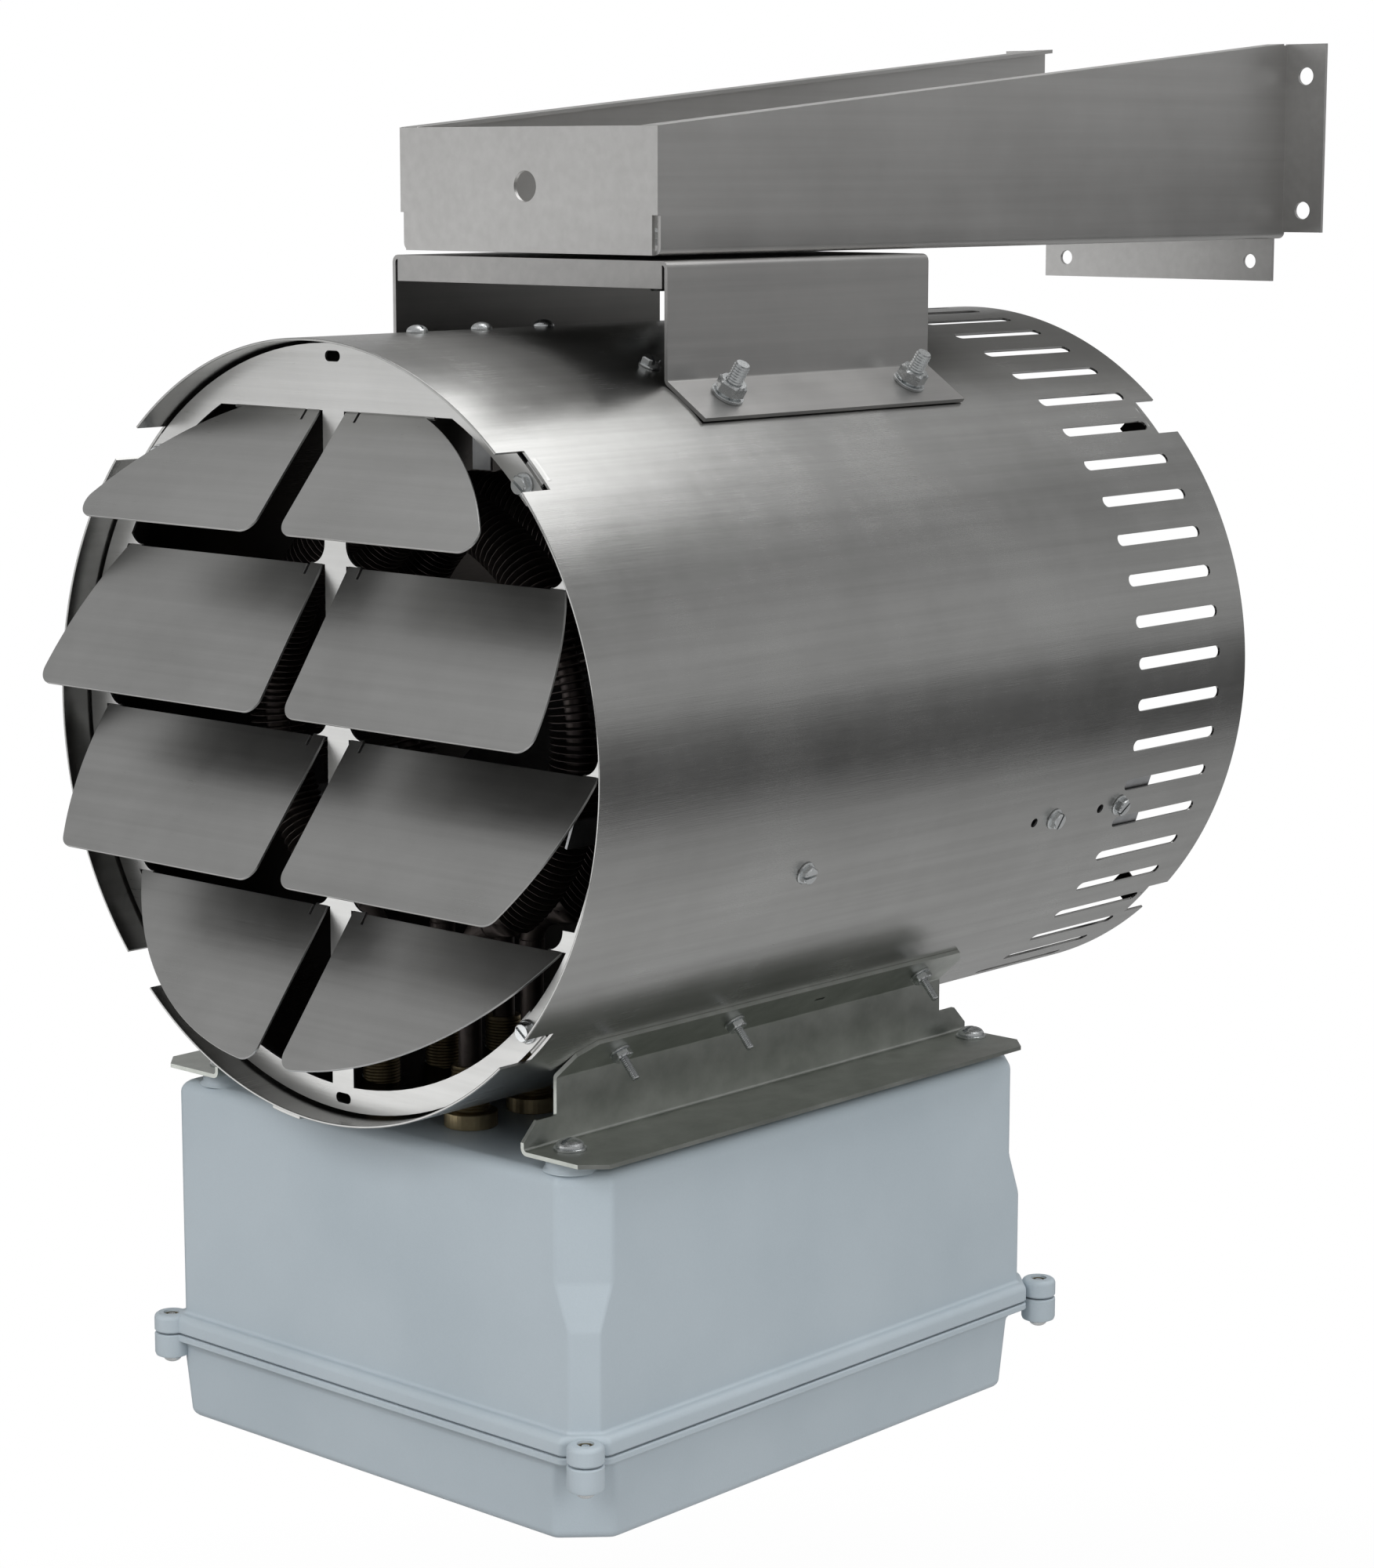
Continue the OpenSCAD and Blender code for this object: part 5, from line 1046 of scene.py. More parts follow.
# %% An outline with cut corners, and the loft through a profile of levels
BOX_HALF_W, BOX_HALF_L, BOX_MID_Y = 137.3, 163.0, 194.8
BOX_TOP, BOX_LOW, BOX_WALL = -186.6, -313.2, 4.0
CUT_WIDE, CUT_NARROW, CUT_FROM, CUT_TO = 18.0, 10.0, 50.0, 71.0
RIM_OUT, RIM_TALL = 6.0, 9.0
CORNER_POINTS = 5
PLAIN_ROUND = 5.0


def cut_corner_outline(half_w, half_l, cut, rounding):
    """Points round a rectangle with three cut corners and a plain one, all of them rounded."""
    corners = [(half_w, half_l - cut), (half_w - cut, half_l)]
    ring = corners + [(-x, y) for x, y in corners[::-1]]
    ring += [(-x, -y) for x, y in ring]
    plain = PLAIN_ROUND * (2 - math.sqrt(2))
    ring[4:6] = [(-half_w, -half_l + plain), (-half_w + plain, -half_l)]
    points = []
    for i, (x, y) in enumerate(ring):
        here = Vector((x, y))
        back = (Vector(ring[i - 1]) - here).normalized()
        ahead = (Vector(ring[(i + 1) % 8]) - here).normalized()
        reach = (PLAIN_ROUND if i in (4, 5) else rounding) * math.tan(math.radians(22.5))
        start, end = here + back * reach, here + ahead * reach
        for k in range(CORNER_POINTS):
            t = k / (CORNER_POINTS - 1)
            points.append((1 - t) ** 2 * start + 2 * t * (1 - t) * here + t ** 2 * end)
    return points


def lofted(name, levels):
    """A closed skin through levels (z, offset, cut, rounding), in the drum's millimetres."""
    work = bmesh.new()
    rings = []
    for z, offset, cut, rounding in levels:
        outline = cut_corner_outline(BOX_HALF_W + offset, BOX_HALF_L + offset, cut, rounding)
        rings.append([work.verts.new(drum_point(p.x, BOX_MID_Y + p.y, z)) for p in outline])
    count = len(rings[0])
    for low, high in zip(rings, rings[1:]):
        for i in range(count):
            work.faces.new((low[i], low[(i + 1) % count], high[(i + 1) % count], high[i]))
    work.faces.new(rings[0][::-1])
    work.faces.new(rings[-1])
    return from_bmesh(name, work)


def quarter(radius, start, steps=5):
    """(along, up) of a quarter circle, from start degrees, as shares of its radius."""
    turns = [math.radians(start + 90 * i / steps) for i in range(steps + 1)]
    return [(radius * math.cos(t), radius * math.sin(t)) for t in turns]


# %% Round solids turned from a profile, for ears, bosses and everything else that is turned
def turned_solid(name, profile, centre, axis="Z", segments=48, place=drum_point, ring=False):
    """A profile of (radius, height), and flats where it is a hexagon, turned about an axis."""
    work = bmesh.new()
    rings = []
    for radius, height, *flats in profile:
        ring_points = []
        for k in range(1 if radius <= 0 else segments):
            a = math.tau * k / segments
            from_flat = (a + math.pi / 6) % (math.pi / 3) - math.pi / 6
            held = min(radius, flats[0] / 2 / math.cos(from_flat)) if flats else radius
            across, up = held * math.cos(a), held * math.sin(a)
            x, y, z = {"Z": (across, up, height), "Y": (across, height, up)}[axis]
            ring_points.append(work.verts.new(place(centre[0] + x, centre[1] + y, centre[2] + z)))
        rings.append(ring_points)
    for low, high in zip(rings, rings[1:] + rings[:1] if ring else rings[1:]):
        for k in range(segments):
            if len(low) > 1 and len(high) > 1:
                work.faces.new((low[k], low[(k + 1) % segments],
                                high[(k + 1) % segments], high[k]))
            elif len(high) > 1:
                work.faces.new((low[0], high[(k + 1) % segments], high[k]))
            elif len(low) > 1:
                work.faces.new((low[k], low[(k + 1) % segments], high[0]))
    for end in () if ring else (rings[0], rings[-1]):
        if len(end) > 1:
            work.faces.new(end)
    return from_bmesh(name, work)


def turned_at(spots, profile, z, segments=48):
    """The same turned solid at every (x, y) spot, its heights counted from z."""
    return [turned_solid("turned", profile, (x, y, z), segments=segments) for x, y in spots]


def united(name, objects):
    """The objects' meshes side by side in one object; the objects are used up."""
    work = bmesh.new()
    for each in objects:
        work.from_mesh(each.data)
        bpy.data.objects.remove(each)
    return from_bmesh(name, work, turn_out=False)


def combined(piece, tools, operation, careful=False):
    """One exact boolean of the piece with one tool object, which is used up."""
    change = piece.modifiers.new("change", "BOOLEAN")
    change.operation = operation
    change.solver = "EXACT"
    change.use_self = careful
    change.object = tools
    made = finished(piece)
    bpy.data.objects.remove(tools)
    return made


def evenly_shaded(piece, degrees=30):
    """Smooth below the angle, with normals weighted by area, so that flats stay flat."""
    shaded(piece.data, degrees, weld=True)
    weigh = piece.modifiers.new("weigh", "WEIGHTED_NORMAL")
    weigh.keep_sharp = True
    weigh.weight = 80
    return finished(piece)


# %% The box: rounded top, walls, the narrowing corner cuts and the bead round its mouth
TOP_ROUND, BEAD_ROUND, COVE = 6.0, 3.6, 1.6
CORNER_SHARE = 0.586      # of a corner cut, for each millimetre that the outline moves inwards
levels = [(BOX_TOP - TOP_ROUND + up, along - TOP_ROUND,
           CUT_WIDE + CORNER_SHARE * (along - TOP_ROUND), 5.0)
          for along, up in quarter(TOP_ROUND, 0, 6)[::-1]]
levels += [(BOX_TOP - CUT_FROM + 1.2, 0, CUT_WIDE, 5.0),
           (BOX_TOP - CUT_FROM - 1.2, 0, CUT_WIDE - 0.5, 3.5),
           (BOX_TOP - CUT_TO + 1.2, 0, CUT_NARROW + 0.5, 2.4),
           (BOX_TOP - CUT_TO - 1.2, 0, CUT_NARROW, 3.0)]
rim_top = BOX_LOW + RIM_TALL
levels += [(rim_top + COVE - up, COVE - along, CUT_NARROW + COVE - along, 3.0)
           for along, up in quarter(COVE, 0, 4)]
levels += [(rim_top - BEAD_ROUND + up, RIM_OUT - BEAD_ROUND + along,
            CUT_NARROW + RIM_OUT - BEAD_ROUND + along, 4.0)
           for along, up in quarter(BEAD_ROUND, 0, 6)[::-1]]
levels += [(BOX_LOW + 0.8, RIM_OUT, CUT_NARROW + RIM_OUT, 4.0),
           (BOX_LOW, RIM_OUT - 0.8, CUT_NARROW + RIM_OUT - 0.8, 4.0),
           (BOX_LOW, -BOX_WALL, CUT_WIDE, 4.0),
           (BOX_TOP - BOX_WALL - 2.0, -BOX_WALL, CUT_WIDE, 4.0),
           (BOX_TOP - BOX_WALL, -BOX_WALL - 2.0, CUT_WIDE, 4.0)]
box = lofted("control_box_shell", levels)
print("box skin:", len(levels), "levels,", triangles(box), "triangles")

# %% Its ears, bosses, inner pads and holes
EAR_X, EAR_Y, EAR_R, EAR_ROUND, INSERT_R = 140.8, 166.5, 8.5, 2.4, 4.0
BOSS_R, BOSS_TALL, BOSS_HOLE, PAD_R, PAD_TALL, PAD_HOLE = 11.0, 6.6, 2.7, 7.0, 6.0, 2.2
ears = [(x, BOX_MID_Y + y) for x in (-EAR_X, EAR_X) for y in (-EAR_Y, EAR_Y)]
bosses = [(x, y) for x in (-116.0, 116.0) for y in (45.0, 334.6)]
pads = [(x, y) for x in (-93.0, 93.0) for y in (185.0, 316.8)]
legs = [(x, y) for x in (-LEG_X, LEG_X) for y in ELEMENT_PLACES]
ear_profile = [(EAR_R - 0.8, 0), (EAR_R, 0.8), (EAR_R, RIM_TALL - EAR_ROUND)]
ear_profile += [(EAR_R - EAR_ROUND + along, RIM_TALL - EAR_ROUND + up)
                for along, up in quarter(EAR_ROUND, 0, 4)[1:]]
boss_profile = [(BOSS_R + 1.5, -0.5), (BOSS_R + 1.0, 0.25), (BOSS_R + 0.3, 0.9), (BOSS_R, 1.8),
                (BOSS_R, BOSS_TALL - 0.8), (BOSS_R - 0.3, BOSS_TALL - 0.25),
                (BOSS_R - 0.9, BOSS_TALL)]
pad_profile = [(PAD_R - 0.6, -PAD_TALL), (PAD_R, -PAD_TALL + 0.6), (PAD_R, 1.0)]
added = turned_at(ears, ear_profile, BOX_LOW) + turned_at(bosses, boss_profile, BOX_TOP)
added += turned_at(pads, pad_profile, BOX_TOP - BOX_WALL)
box = combined(box, united("added", added), "UNION")
drills = turned_at(ears, [(INSERT_R, -1), (INSERT_R, RIM_TALL + 1)], BOX_LOW, 24)
drills += turned_at(bosses, [(BOSS_HOLE, 0), (BOSS_HOLE, BOSS_TALL + 1)], BOX_TOP, 24)
drills += turned_at(legs, [(LEG_BORE, -BOX_WALL - 1), (LEG_BORE, 1)], BOX_TOP, 40)
drills += turned_at(pads, [(PAD_HOLE, -PAD_TALL - 1), (PAD_HOLE, -1)], BOX_TOP - BOX_WALL, 24)
box = evenly_shaded(combined(box, united("drills", drills), "DIFFERENCE"))
box.data.materials.clear()
settle(box, "control_box")
print("control box:", triangles(box), "triangles")

# %% The lid: a flange, a cove under it, leaning walls and a rounded bottom
LID_TOP, LID_LOW, LID_CUT, LID_RIM, LID_EAR = -314.0, -357.3, 20.0, 3.4, 12.0
LEAN, LOW_ROUND, LID_COVE, LID_HOLE = 1.6, 4.5, 5.0, 2.5
rim_cut = CUT_NARROW + RIM_OUT
levels = [(LID_LOW + BOX_WALL, -BOX_WALL - 3.0, LID_CUT - 1.5, 4.0),
          (LID_LOW + BOX_WALL + 1.5, -BOX_WALL - 1.0, LID_CUT, 4.0),
          (LID_TOP, -BOX_WALL, LID_CUT, 4.0), (LID_TOP, RIM_OUT - 0.6, rim_cut - 0.6, 4.0),
          (LID_TOP - 0.6, RIM_OUT, rim_cut, 4.0), (LID_TOP - LID_RIM + 0.6, RIM_OUT, rim_cut, 4.0),
          (LID_TOP - LID_RIM, RIM_OUT - 0.5, rim_cut - 0.5 + 0.3, 4.0)]
for along, up in quarter(LID_COVE, 90, 5):
    share = -along / LID_COVE
    levels.append((LID_TOP - LID_RIM - LID_COVE + up, RIM_OUT - 0.5 - LID_COVE * share,
                   rim_cut + (LID_CUT - rim_cut) * share, 4.0))
levels += [(LID_LOW + LOW_ROUND - up, -LEAN - LOW_ROUND + along,
            LID_CUT + CORNER_SHARE * (along - LOW_ROUND), 5.0)
           for along, up in quarter(LOW_ROUND, 0, 5)]
lid = lofted("lid_shell", levels)
ear_profile = [(EAR_R - 0.6, LID_EAR), (EAR_R, LID_EAR - 0.6), (EAR_R, 2.0), (EAR_R - 0.5, 0.7),
               (EAR_R - 2.0, 0.0)]
added = united("added", turned_at(ears, ear_profile, LID_TOP - LID_EAR))
lid = combined(lid, added, "UNION", careful=True)
drills = turned_at(ears, [(LID_HOLE, -1), (LID_HOLE, LID_EAR + 1)], LID_TOP - LID_EAR, 24)
lid = evenly_shaded(combined(lid, united("drills", drills), "DIFFERENCE", careful=True))
lid.data.materials.clear()
settle(lid, "lid")
print("lid:", triangles(lid), "triangles")

# %% [markdown]
# ## Screws, bolts, nuts and washers
# Some sixty fasteners hold this heater together, of about a dozen kinds. Each kind is
# one turned outline: where a part of it is a hexagon, the radius is held inside the
# hexagon, and a short cone above that trims the six corners, which is just how a lathe
# leaves a bar of hexagon stock. A saw cut makes the driver slot. The set-out tree then
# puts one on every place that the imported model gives, each spun by its own random
# amount, because nobody lines up the slots of sheet metal screws.

# %% Outlines of the standard shapes, as (radius, height, flats)
def hexagon_part(flats, low, high, blunt_low=False):
    """The outside of a hexagon, its upper corners, or both ends, trimmed by a cone."""
    corner, trim = flats / math.sqrt(3), 0.08 * flats
    part = [(corner, low, flats)]
    if blunt_low:
        part = [(0.475 * flats, low, flats), (corner, low + trim, flats)]
    return part + [(corner, high - trim, flats), (0.475 * flats, high, flats)]


def thread(radius, low, high, pitch):
    """Ridges from low to high; the ends run out at the root."""
    count = max(1, round((high - low) / pitch))
    root, rise = radius - 0.35 * pitch, (high - low) / count
    part = [(root, low)]
    for i in range(count):
        part += [(radius, low + rise * (i + 0.5)), (root, low + rise * (i + 1))]
    return part


def dome(radius, low, high, steps=6):
    """A low dome on a short rim, ending on the axis."""
    rim = low + 0.12 * (high - low)
    turns = [math.pi / 2 * i / steps for i in range(steps)]
    part = [(radius * math.cos(t), rim + (high - rim) * math.sin(t)) for t in turns]
    return [(radius - 0.15, low), *part, (0, high)]


def item_place(x, y, z):
    return Vector((x, y, z)) * MM


def fastener(name, profile, slot=None, slot_floor=0.0, segments=24, ring=False):
    """One fastener at the origin, its head up; ring closes the outline on itself."""
    made = turned_solid(name, profile, (0, 0, 0), segments=segments, place=item_place, ring=ring)
    if slot:
        reach = 2 * max(each[0] for each in profile)
        work = bmesh.new()
        spot = Matrix.Translation((0, 0, (slot_floor + 5) * MM))
        bmesh.ops.create_cube(work, size=1.0, matrix=spot @ Matrix.Diagonal(
            (reach * MM, slot * MM, 10 * MM, 1)))
        made = combined(made, from_bmesh("saw", work, turn_out=False), "DIFFERENCE")
    return made


SCREW_TALL = 4.2


def small_screw(length):
    """Hexagon head on a round flange, slotted, for sheet metal: 8 mm across its flats."""
    profile = [(0, -length), (1.2, -length), (1.9, -length + 0.9)]
    profile += thread(2.1, -length + 1.0, -0.5, 1.3)
    profile += [(2.1, 0), (5.1, 0), (5.4, 0.3), (5.4, 0.75), (5.0, 1.1)]
    profile += hexagon_part(8, 1.1, SCREW_TALL) + [(0, SCREW_TALL)]
    return fastener("small_screw", profile, slot=1.3, slot_floor=2.1)


def washer_edge(radius, thick):
    return [(radius - 0.2, 0), (radius, 0.2), (radius, thick - 0.2), (radius - 0.2, thick)]


def domed_screw(shank, length, head, head_low, head_high, slot, washer=None):
    profile = [(0, -length), (shank - 0.6, -length)] + thread(shank, -length + 0.6, -0.4, 1.1)
    profile += [(shank, 0)] + (washer_edge(*washer) if washer else [])
    profile += dome(head, head_low, head_high)
    return fastener("domed_screw", profile, slot=slot, slot_floor=(head_low + head_high) / 2,
                    segments=32)


def washered_nut(bore, washer, thick, flats, tall, segments=36):
    top = thick + tall
    profile = [(bore, 0)] + washer_edge(washer, thick) + hexagon_part(flats, thick, top, True)
    profile += [(bore + 0.4, top), (bore, top - 0.4)]
    return fastener("washered_nut", profile, segments=segments, ring=True)


print("outlines ready")

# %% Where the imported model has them
def solids_of(node):
    """The corner points of every separate solid of a node."""
    work = bmesh.new()
    work.from_mesh(frame["nodes"][node].data)
    bmesh.ops.remove_doubles(work, verts=work.verts, dist=2e-6)
    left, solids = set(work.verts), []
    for first in work.verts:            # in the mesh's order, so that every run is the same
        if first not in left:
            continue
        left.discard(first)
        front, points = [first], [first]
        while front:
            for edge in front.pop().link_edges:
                for vert in edge.verts:
                    if vert in left:
                        left.discard(vert)
                        front.append(vert)
                        points.append(vert)
        solids.append(np.array([vert.co for vert in points]))
    work.free()
    return solids

def fasten(node, item, top, aims, spin_share=1.0, seed=1):
    """Sets the item out on every solid of the node; top is its highest point above its seat."""
    places, chosen = [], []
    for points in solids_of(node):
        middle = (points.min(axis=0) + points.max(axis=0)) / 2
        away = (Vector(middle) - AXIS) * Vector((1, 0, 1))
        aim = max(aims, key=lambda each: each.dot(away))
        across = side_of(aim)
        beside = aim.cross(across)
        spans = [points @ np.array(direction) for direction in (across, beside, aim)]
        at = across * float(spans[0].min() + spans[0].max()) / 2
        at += beside * float(spans[1].min() + spans[1].max()) / 2
        places.append(at + aim * (float(spans[2].max()) - top * MM))
        chosen.append(aim)
    made = set_out(node, node + "_turned", item, places, chosen, seed, spin_share)
    print(f"{node}: {len(places)} set out, {triangles(made)} triangles")


# %% Screws in the drum, the louvre plate and the box
UP, DOWN, FORWARD = [Vector((0, 0, 1))], [Vector((0, 0, -1))], [Vector((0, -1, 0))]
SIDES = [outward(SIDE_ANGLE), outward(180 - SIDE_ANGLE)]
SMALL_SCREWS = {"louver_screws": (11, FORWARD, 3), "cradle_screws": (12, SIDES, 4),
                "stay_screws": (10, SIDES, 5), "cutout_screw": (8, [outward(CUTOUT_ANGLE)], 6),
                "panel_screws": (6, DOWN, 7)}
for node, (length, aims, seed) in SMALL_SCREWS.items():
    fasten(node, small_screw(length), SCREW_TALL, aims, seed=seed)
fasten("hanger_screws", domed_screw(2.1, 10, 5, 0, 3.6, 1.2), 3.6, UP, seed=8)
fasten("box_screws", domed_screw(2.6, 8.6, 6.5, 1.2, 5.2, 1.6, (7.6, 1.2)), 5.2, UP, seed=9)
lid_screw_length = 12 + 0.8 + 8          # ear, gasket and brass insert
fasten("lid_screws", domed_screw(2.4, lid_screw_length, 4.6, 0, 3.4, 1.2), 3.4, DOWN, seed=10)

# %% Bolts and nuts of the saddle, the rails and the motor
FEET = [outward(FOOT_ANGLE), outward(180 - FOOT_ANGLE)]
LEAVES = [outward(-48), outward(228)]
seat = math.sqrt(176.6 ** 2 - (12.7 ** 2) / 3) - DRUM_R     # a flat head inside the round wall
profile = [(0, seat - 5)] + hexagon_part(12.7, seat - 5, seat, True) + [(3.9, seat), (3.9, 0)]
profile += thread(3.9, 0.4, 18.4, 1.4) + [(3.2, 19), (0, 19)]
fasten("saddle_bolts", fastener("saddle_bolt", profile, segments=36), 19, FEET)
fasten("saddle_nuts", washered_nut(3.9, 8, 1.6, 12.7, 6.7, 48), 8.3, FEET, seed=2)
tip = 2 + 1 + 3.4 + 11                   # sheet, washer, nut and the bolt's tail
right_bolt = max(solids_of("rail_bolts"), key=lambda each: each[:, 0].mean())
seat = tip - float(np.ptp(right_bolt @ np.array(LEAVES[0]))) / MM
profile = [(0, seat), (3.2, seat), (4.2, seat + 1.0), (4.2, seat + 3), (2.1, seat + 3), (2.1, 0)]
profile += thread(2.1, 0.4, tip - 0.5, 0.9) + [(1.6, tip), (0, tip)]
fasten("rail_bolts", fastener("rail_bolt", profile), tip, LEAVES)
fasten("rail_nuts", washered_nut(2.1, 5.2, 1, 8.8, 3.4, 36), 4.4, LEAVES, seed=5)
low = -5 - 2 - 4 - 3                     # foot, cradle, nut and the bolt's tail
profile = [(0, low), (2.4, low)] + thread(3, low + 0.5, low + 3, 1.0)
profile += hexagon_part(10, low + 3, low + 7, True) + [(3, low + 7), (3, 0)]
profile += hexagon_part(10, 0, 4) + [(0, 4)]
fasten("motor_bolts", fastener("motor_bolt", profile), 4, UP, seed=4)

# %% The swivel bolt with its nut and its two washers, and the brass inserts of the box
SWIVEL_R = 6.35
profile = [(0, -19), (5.4, -19)] + thread(SWIVEL_R, -18.2, -6.5, 1.6)
profile += [(SWIVEL_R, -6.0), (SWIVEL_R, 0)] + hexagon_part(19, 0, 8) + [(0, 8)]
# The shank was drawn 19 mm long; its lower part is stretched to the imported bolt's length
swivel_length = float(np.ptp(solids_of("swivel_bolt")[0][:, 2])) / MM - 8
profile = [(r, h if h > -6.2 else h * swivel_length / 19, *rest) for r, h, *rest in profile]
fasten("swivel_bolt", fastener("swivel_bolt_item", profile, segments=48), 8, UP, seed=2)
profile = [(SWIVEL_R, 0.5), (6.9, 0)] + hexagon_part(19, 0, 10, True) + [(6.9, 10), (SWIVEL_R, 9.5)]
fasten("swivel_nut", fastener("swivel_nut_item", profile, segments=48, ring=True), 10, UP, seed=3)
washers = []
for points in solids_of("swivel_washers"):
    top_z, low_z = float(points[:, 2].max()) / MM, float(points[:, 2].min()) / MM
    middle_y = float(points[:, 1].min() + points[:, 1].max()) / 2 / MM
    profile = [(SWIVEL_R, low_z), (16.7, low_z), (17, low_z + 0.3), (17, top_z - 0.3),
               (16.7, top_z), (SWIVEL_R, top_z)]
    washers.append(turned_solid("washer", profile, (0, middle_y, 0), segments=64,
                                place=item_place, ring=True))
settle(evenly_shaded(united("swivel_washers_turned", washers)), "swivel_washers")
profile = [(2.8, 0), (3.6, 0)] + [(4.0 if i % 2 else 3.7, 0.4 + 0.6 * i) for i in range(13)]
profile += [(3.6, 8), (2.8, 8)]
fasten("box_inserts", fastener("insert", profile, ring=True), 8, UP)

# %% [markdown]
# ## The eight louvre blades
# A blade is part of the same sheet as the plate: the blank is slit round three sides and
# the blade is bent out on two short necks. Each is a body of its own here, so the bend
# itself, a roll as thick as the sheet, belongs to the blade and turns with it round the
# bend line. The roll is a short closed section pushed along the necks. The blade's sheet
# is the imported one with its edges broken, because its outline follows the round window.

# %% Blades with their bent necks
BEND_Y, LOUVER_T, ROLL_REACH = 16.4, 1.2, 1.3
BEND_ZS, BLADE_TILTS = (145.0, 75.951, -2.349, -80.65), (40, 34, 38, 37)
WINDOW_R, NECK_IN, NECK_OUT, STUB_R = 163.5, 8.6, 16.6, 9.6


def bend_roll(x0, x1, bend_z, tilt, steps=8):
    """Half round over the bend line, and a short flat down into the blade."""
    half, lean = LOUVER_T / 2, math.radians(tilt)
    turns = [math.pi * i / steps for i in range(steps + 1)]
    flat = [(half, -ROLL_REACH)] + [(half * math.cos(a), half * math.sin(a)) for a in turns]
    flat += [(-half, -ROLL_REACH)]
    outline = []
    for out, along in flat:
        y = -out * math.cos(lean) + along * math.sin(lean)
        z = along * math.cos(lean) + out * math.sin(lean)
        outline.append(drum_point(x0, BEND_Y + y, bend_z + z))
    return pushed_outline("roll", outline, Vector(((x1 - x0) * MM, 0, 0)))


for row, (bend_z, tilt) in enumerate(zip(BEND_ZS, BLADE_TILTS)):
    edge = math.sqrt((WINDOW_R - 1.6) ** 2 - bend_z ** 2)
    spans = [(NECK_IN + 0.1, NECK_OUT - 0.1)]
    spans += [(edge - STUB_R + 1.0, edge - 1.2)] if row else [(18.3, edge - 7)]
    for side, word in ((-1, "left"), (1, "right")):
        node = f"blade_{row + 1}_{word}"
        points = np.array([v.co for v in frame["nodes"][node].data.vertices])
        lean = points[:, 1].mean() / MM - DRUM_Y - BEND_Y
        drop = abs(points[:, 2].mean() / MM - DRUM_Z - bend_z)
        sign = 1 if lean > 0 else -1
        pieces = [softened(joined_copy("blade_flat", node), 0.2)]
        pieces += [bend_roll(side * a, side * b, bend_z, sign * -tilt) for a, b in spans]
        settle(united(node + "_sheet", pieces), node)
    measured = math.degrees(math.atan2(lean, drop))
    print(f"blade {row + 1}: tilt {tilt}, measured lean {measured:.1f} degrees")

# %% [markdown]
# ## The three heating rings
# A finned element is a sheathed heating wire bent into an open ring, with a thin steel
# fin wound round it every few millimetres. The fins make it what it is, and there are
# some hundred and fifty to a ring, so they are grown: one thin fin of sixteen sides is
# set out on points along the ring, each looking along the tube. The sheath is a circle
# swept along the same path by a tree of its own, through the bends and down both legs.

# %% A tree that sweeps a round tube along a path
tube_tree, given = geometry_tree("swept_tube", [
    ("Radius", LENGTH), ("Sides", COUNT), ("Material", PAINT)])
path = step(tube_tree, "GeometryNodeMeshToCurve", {0: given["Geometry"]})
circle = step(tube_tree, "GeometryNodeCurvePrimitiveCircle",
              {"Resolution": given["Sides"], "Radius": given["Radius"]}, mode="RADIUS")
swept = step(tube_tree, "GeometryNodeCurveToMesh",
             {"Curve": path, "Profile Curve": circle, "Fill Caps": True})
swept = step(tube_tree, "GeometryNodeMergeByDistance", {"Geometry": swept, "Distance": 1e-6})
smooth = step(tube_tree, "GeometryNodeSetShadeSmooth", {0: swept})
end_tree(tube_tree, smooth, given["Material"])


def seed_path(name, places):
    """A mesh of points joined into one open line."""
    mesh = bpy.data.meshes.new(name)
    lines = [(i, i + 1) for i in range(len(places) - 1)]
    mesh.from_pydata([tuple(place) for place in places], lines, [])
    return mesh


# %% The path of a ring: up one leg, round and down the other
RING_R, FIN_R, SHEATH_R, LEG_BEND, COLD_ANGLE = 100.0, 13.0, 5.5, 18.0, 12.0
LEG_LOW = BOX_TOP - BOX_WALL - 14.0
BEND_X = LEG_X + LEG_BEND
BEND_Z = -math.sqrt((RING_R + LEG_BEND) ** 2 - BEND_X ** 2)
RING_END = math.degrees(math.atan2(BEND_Z, BEND_X))


def ring_path(y):
    half = [(LEG_X, z) for z in np.linspace(LEG_LOW, BEND_Z, 4)]
    for turn in np.linspace(0, 180 + RING_END, 9)[1:]:
        a = math.radians(180 - turn)
        half.append((BEND_X + LEG_BEND * math.cos(a), BEND_Z + LEG_BEND * math.sin(a)))
    for turn in np.linspace(RING_END, 90, 40)[1:]:
        a = math.radians(turn)
        half.append((RING_R * math.cos(a), RING_R * math.sin(a)))
    whole = half + [(-x, z) for x, z in half[-2::-1]]
    return [drum_point(x, y, z) for x, z in whole]


print("ring ends at", round(RING_END, 1), "degrees")

# %% Sheath, sleeves and fins of each ring
FIN_PITCH, FIN_T = 3.3, 0.45
first, last = RING_END + COLD_ANGLE + 0.6, 180 - RING_END - COLD_ANGLE - 0.6
fin_count = int(math.radians(last - first) * RING_R / FIN_PITCH)
fin_profile = [(SHEATH_R - 0.3, -0.8), (6.2, -FIN_T / 2), (FIN_R - 0.1, -0.15),
               (FIN_R - 0.1, 0.15), (6.2, FIN_T / 2), (SHEATH_R - 0.3, 0.8)]
sleeve_profile = [(SHEATH_R - 0.2, -3), (5.8, -3), (6.1, -2.7), (6.1, 2.7), (5.8, 3),
                  (SHEATH_R - 0.2, 3)]
fin_turns = np.linspace(math.radians(first), math.radians(last), fin_count)
fin_aims = [Vector((-math.sin(turn), 0, math.cos(turn))) for turn in fin_turns]
